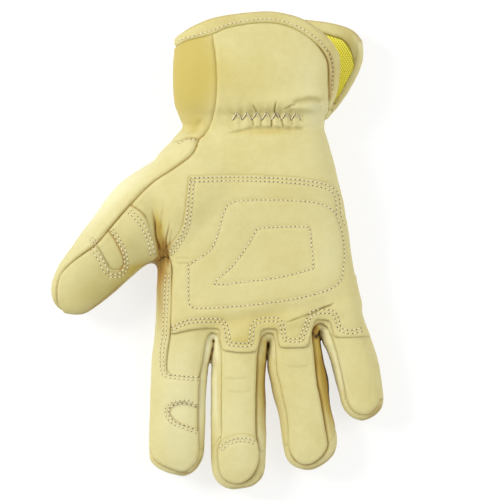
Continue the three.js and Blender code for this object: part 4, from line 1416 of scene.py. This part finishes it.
def binding_marks(points, normals):
    """The edge strips are painted dark along the lining of the back flap and at their outer edge, a
    painted shade in the groove by the lining and where the edge turns away.
    """
    x, y, z = points.T
    along, _, _ = nearest_on(spline(CUFF_BACK_BAND[:10], 4), points, 3.0)
    side = np.where((x > 40) & (y < 106), np.abs(z - BACK_HEIGHT + SIDE_BAND), FAR)
    inner = np.exp(-((np.minimum(along, side) / 0.7) ** 2)) * (z < FLAP_HEIGHT)
    outer = np.zeros(len(points))
    flap = z > FLAP_HEIGHT
    lip = np.where(flap & (x > 40) & (y < 104), np.abs(z - FLAP_END), FAR)
    for edge, level in ((CUFF_FLAP_EDGE, flap), (CUFF_BACK_EDGE[:-1], ~flap)):
        distance, _, _ = nearest_on(spline(edge, 4), points, 3.0)
        outer += np.exp(-((np.minimum(distance, lip) / 0.5) ** 2)) * level
    return {"fold": LINING_SHADE_LINE * inner + OUTER_EDGE_SHADE * outer, "tone": 0.15 * inner}


# The glove's walls
net_points, net_quads = surface_net()
net_points = relax(settle(net_points, 2), net_quads, 3)
whole = Net(net_points, triangles(net_points, net_quads))
walls = whole.inside(leather_space)
for gap, outline in GUSSETS.items():
    strip, walls = walls.split(both(outline, above(GUSSET_SEAM)))
    add_wall("fourchette_" + gap, strip, gusset_leather, "gusset_leather", shade=gusset_marks)
thumb_back, walls = walls.split(thumb_back_space)
add_wall("thumb_back", thumb_back, back_leather, "back_leather", quilted=("thumb_back",))
palm, back = walls.split(palm_space)
add_wall("palm_panel", palm, grain_leather, "grain_leather", edges=True)
add_wall("back_panel", back, back_leather, "back_leather", shade=cuff_marks)
for node, space in OVERLAY_SPACES.items():
    add_wall(
        node, whole.inside(space), overlay_leather, "overlay_leather",
        thick=OVERLAY, quilted=(node,), seamed=False, layered=True, edges=True,
    )
add_wall(
    "cuff_binding", whole.inside(binding_space), binding_leather, "binding_leather",
    lift=BINDING_OUT, thick=BINDING_OUT + BINDING_IN, seamed=False, quilted=("cuff_binding",),
    shade=binding_marks,
)
lining = whole.inside(both(leather_space, Outline(CUFF_ZONE, 1)))
add_wall(
    "cuff_lining", lining, mesh_lining, "mesh_lining",
    lift=-LINING_OUT, thick=LINING_IN - LINING_OUT, seamed=False,
)


def along_path(path, pitch):
    """Places along a line in plan, evenly spaced at about the pitch."""
    length = np.concatenate([[0], np.cumsum(np.linalg.norm(np.diff(path, axis=0), axis=1))])
    count = max(int(round(length[-1] / pitch)), 1)
    marks = np.linspace(0, length[-1], count + 1)
    return np.column_stack([np.interp(marks, length, path[:, i]) for i in range(2)])


def stitches(starts, ends, lift, quilted, radius, rise):
    """Threads from start to end in plan: six rings of six points, the middle ones lifted off the
    leather and the end ones drawn into it, closed by a point at each end."""
    shares = np.array([0.0, 0.1, 0.32, 0.68, 0.9, 1.0])
    high = np.array([-0.9, 0.0, 1.0, 1.0, 0.0, -0.9]) * rise
    width = np.array([0.35, 0.8, 1.0, 1.0, 0.8, 0.35]) * radius
    count, rings, sides = len(starts), len(shares), 6
    plan = starts[:, None] + (ends - starts)[:, None] * shares[None, :, None]
    base, normal = drop_on(plan.reshape(-1, 2), lift, quilted)
    base, normal = base.reshape(count, rings, 3), normal.reshape(count, rings, 3)
    centre = base + normal * high[None, :, None]
    run = base[:, -1:] - base[:, :1]
    side = np.cross(normal, run / np.maximum(np.linalg.norm(run, axis=2, keepdims=True), 1e-6))
    angle = np.arange(sides) * 2 * np.pi / sides
    turn = side[:, :, None] * np.cos(angle)[:, None] + normal[:, :, None] * np.sin(angle)[:, None]
    points = centre[:, :, None] + turn * width[None, :, None, None]
    tips = centre[:, [0, -1]]
    ring = np.arange(rings - 1)[:, None] * sides
    here, there = np.arange(sides)[None, :], (np.arange(sides)[None, :] + 1) % sides
    a, b = (ring + here).ravel(), (ring + there).ravel()
    c, d = b + sides, a + sides
    low, top = rings * sides, rings * sides + 1
    here, there = here.ravel(), there.ravel()
    last = (rings - 1) * sides
    faces = np.vstack([
        np.column_stack([a, d, b]), np.column_stack([b, d, c]),
        np.column_stack([np.full(sides, low), here, there]),
        np.column_stack([np.full(sides, top), last + there, last + here]),
    ])
    points = np.concatenate([points.reshape(count, -1, 3), tips], axis=1)
    offset = np.arange(count)[:, None, None] * points.shape[1]
    return points.reshape(-1, 3), (faces[None] + offset).reshape(-1, 3)


def holes(places, lift, quilted, radius):
    """Needle holes: flat closed lenses of six sides, just proud of the leather, whose dark colour
    is painted shade of the holes.
    """
    sides = 6
    base, normal = drop_on(places, lift, quilted)
    side = np.cross(normal, [0.3, 1.0, 0.1])
    side /= np.linalg.norm(side, axis=1, keepdims=True)
    other = np.cross(normal, side)
    angle = np.arange(sides) * 2 * np.pi / sides
    ring = side[:, None] * np.cos(angle)[:, None] + other[:, None] * np.sin(angle)[:, None]
    ring = (base + HOLE_RIM * normal)[:, None] + ring * radius
    poles = np.stack([base + HOLE_TOP * normal, base - HOLE_DEEP * normal], axis=1)
    points = np.concatenate([ring, poles], axis=1)
    here, there = np.arange(sides), (np.arange(sides) + 1) % sides
    faces = np.vstack([
        np.column_stack([here, there, np.full(sides, sides)]),
        np.column_stack([there, here, np.full(sides, sides + 1)]),
    ])
    offset = np.arange(len(places))[:, None, None] * (sides + 2)
    return points.reshape(-1, 3), (faces[None] + offset).reshape(-1, 3)


def joined(parts):
    """Several (points, triangles) pairs as one."""
    counts = np.cumsum([0] + [len(points) for points, _ in parts[:-1]])
    points = np.vstack([points for points, _ in parts])
    return points, np.vstack([faces + n for (_, faces), n in zip(parts, counts)])


threads, needles = [], []
for node, lines in STITCHES.items():
    lift = OVERLAY_GAP + OVERLAY if node in OVERLAY_SPACES else 0.0
    if node == "cuff_binding":
        lift = BINDING_OUT
    for line, rows, hole in lines:
        for shift in rows:
            marks = along_path(beside(line, shift), STITCH_PITCH)
            run = marks[1:] - marks[:-1]
            starts, ends = marks[:-1] + STITCH_GAP * run, marks[1:] - STITCH_GAP * run
            threads.append(stitches(starts, ends, lift, (node,), THREAD, STITCH_RISE))
            needles.append(holes(marks, lift, (node,), hole))
zigzag = along_path(np.array([ZIGZAG_FROM, ZIGZAG_TO]), ZIGZAG_PITCH / 2)
zigzag[:, 1] += np.where(np.arange(len(zigzag)) % 2, 0.5, -0.5) * ZIGZAG_HIGH
threads.append(stitches(zigzag[:-1], zigzag[1:], 0.0, (), ZIGZAG_THREAD, ZIGZAG_RISE))
needles.append(holes(zigzag, 0.0, (), ZIGZAG_HOLE))
shadow_line = zigzag + SHADOW_THREAD_BESIDE
needles.append(stitches(shadow_line[:-1], shadow_line[1:], 0.0, (), SHADOW_THREAD, SHADOW_THREAD_RISE))
add_mesh("seam_threads", *joined(threads), cream_thread, "overlay_leather")
add_mesh("needle_holes", *joined(needles), needle_hole, "overlay_leather")

# Floor, light and camera
CAMERA_HIGH = 3.0
VIEW_WIDE = 0.275
VIEW_LEVEL = 0.018  # the height at which the view is that wide
SENSOR = 36.0
FLOOR_HALF = 3.0
FLOOR_LEVEL = -0.0002
FLOOR_GREY = (0.34, 0.34, 0.34, 1.0)
FLOOR_GLOW = 0.68
WHITE = (1.0, 1.0, 1.0, 1.0)
WORLD_STRENGTH = 0.58
# Square lights that face the glove: name, place, width and watts
LIGHTS = [
    ("key", (-0.85, 0.35, 0.72), 0.5, 8.3),
    ("fill", (0.75, 0.1, 0.9), 0.9, 4.2),
]


def add_floor():
    """A pale floor that glows, so it stays white round the glove and keeps its soft shadow."""
    mesh = bpy.data.meshes.new("floor")
    corners = [(-1, -1), (1, -1), (1, 1), (-1, 1)]
    points = [(x * FLOOR_HALF, y * FLOOR_HALF, FLOOR_LEVEL) for x, y in corners]
    mesh.from_pydata(points, [], [(0, 1, 2, 3)])
    finish = Finish(
        "floor_paper", Base_Color=FLOOR_GREY, Roughness=0.9, Emission_Color=WHITE,
        Emission_Strength=FLOOR_GLOW,
    )
    mesh.materials.append(finish.material)
    floor = bpy.data.objects.new("floor", mesh)
    bpy.context.scene.collection.objects.link(floor)


def add_light(name, place, size, watts):
    """A square area light that faces the origin."""
    data = bpy.data.lights.new(name, "AREA")
    data.shape = "SQUARE"
    data.size = size
    data.energy = watts
    light = bpy.data.objects.new(name, data)
    light.location = place
    light.rotation_euler = (-Vector(place)).to_track_quat("-Z", "Y").to_euler()
    bpy.context.scene.collection.objects.link(light)


def add_world(colour, strength):
    """Even light from all round."""
    world = bpy.data.worlds.new("studio")
    world.use_nodes = True
    background = world.node_tree.nodes["Background"]
    background.inputs["Color"].default_value = colour
    background.inputs["Strength"].default_value = strength
    bpy.context.scene.world = world


def add_camera():
    """A camera straight above: its lens is the sensor's width * distance / the view's width."""
    data = bpy.data.cameras.new("camera")
    data.sensor_width = SENSOR
    data.lens = SENSOR * (CAMERA_HIGH - VIEW_LEVEL) / VIEW_WIDE
    camera = bpy.data.objects.new("camera", data)
    camera.location = (0, 0, CAMERA_HIGH)
    bpy.context.scene.collection.objects.link(camera)
    bpy.context.scene.camera = camera


add_floor()
for light in LIGHTS:
    add_light(*light)
add_world(WHITE, WORLD_STRENGTH)
add_camera()
bpy.context.scene.view_settings.view_transform = "Standard"
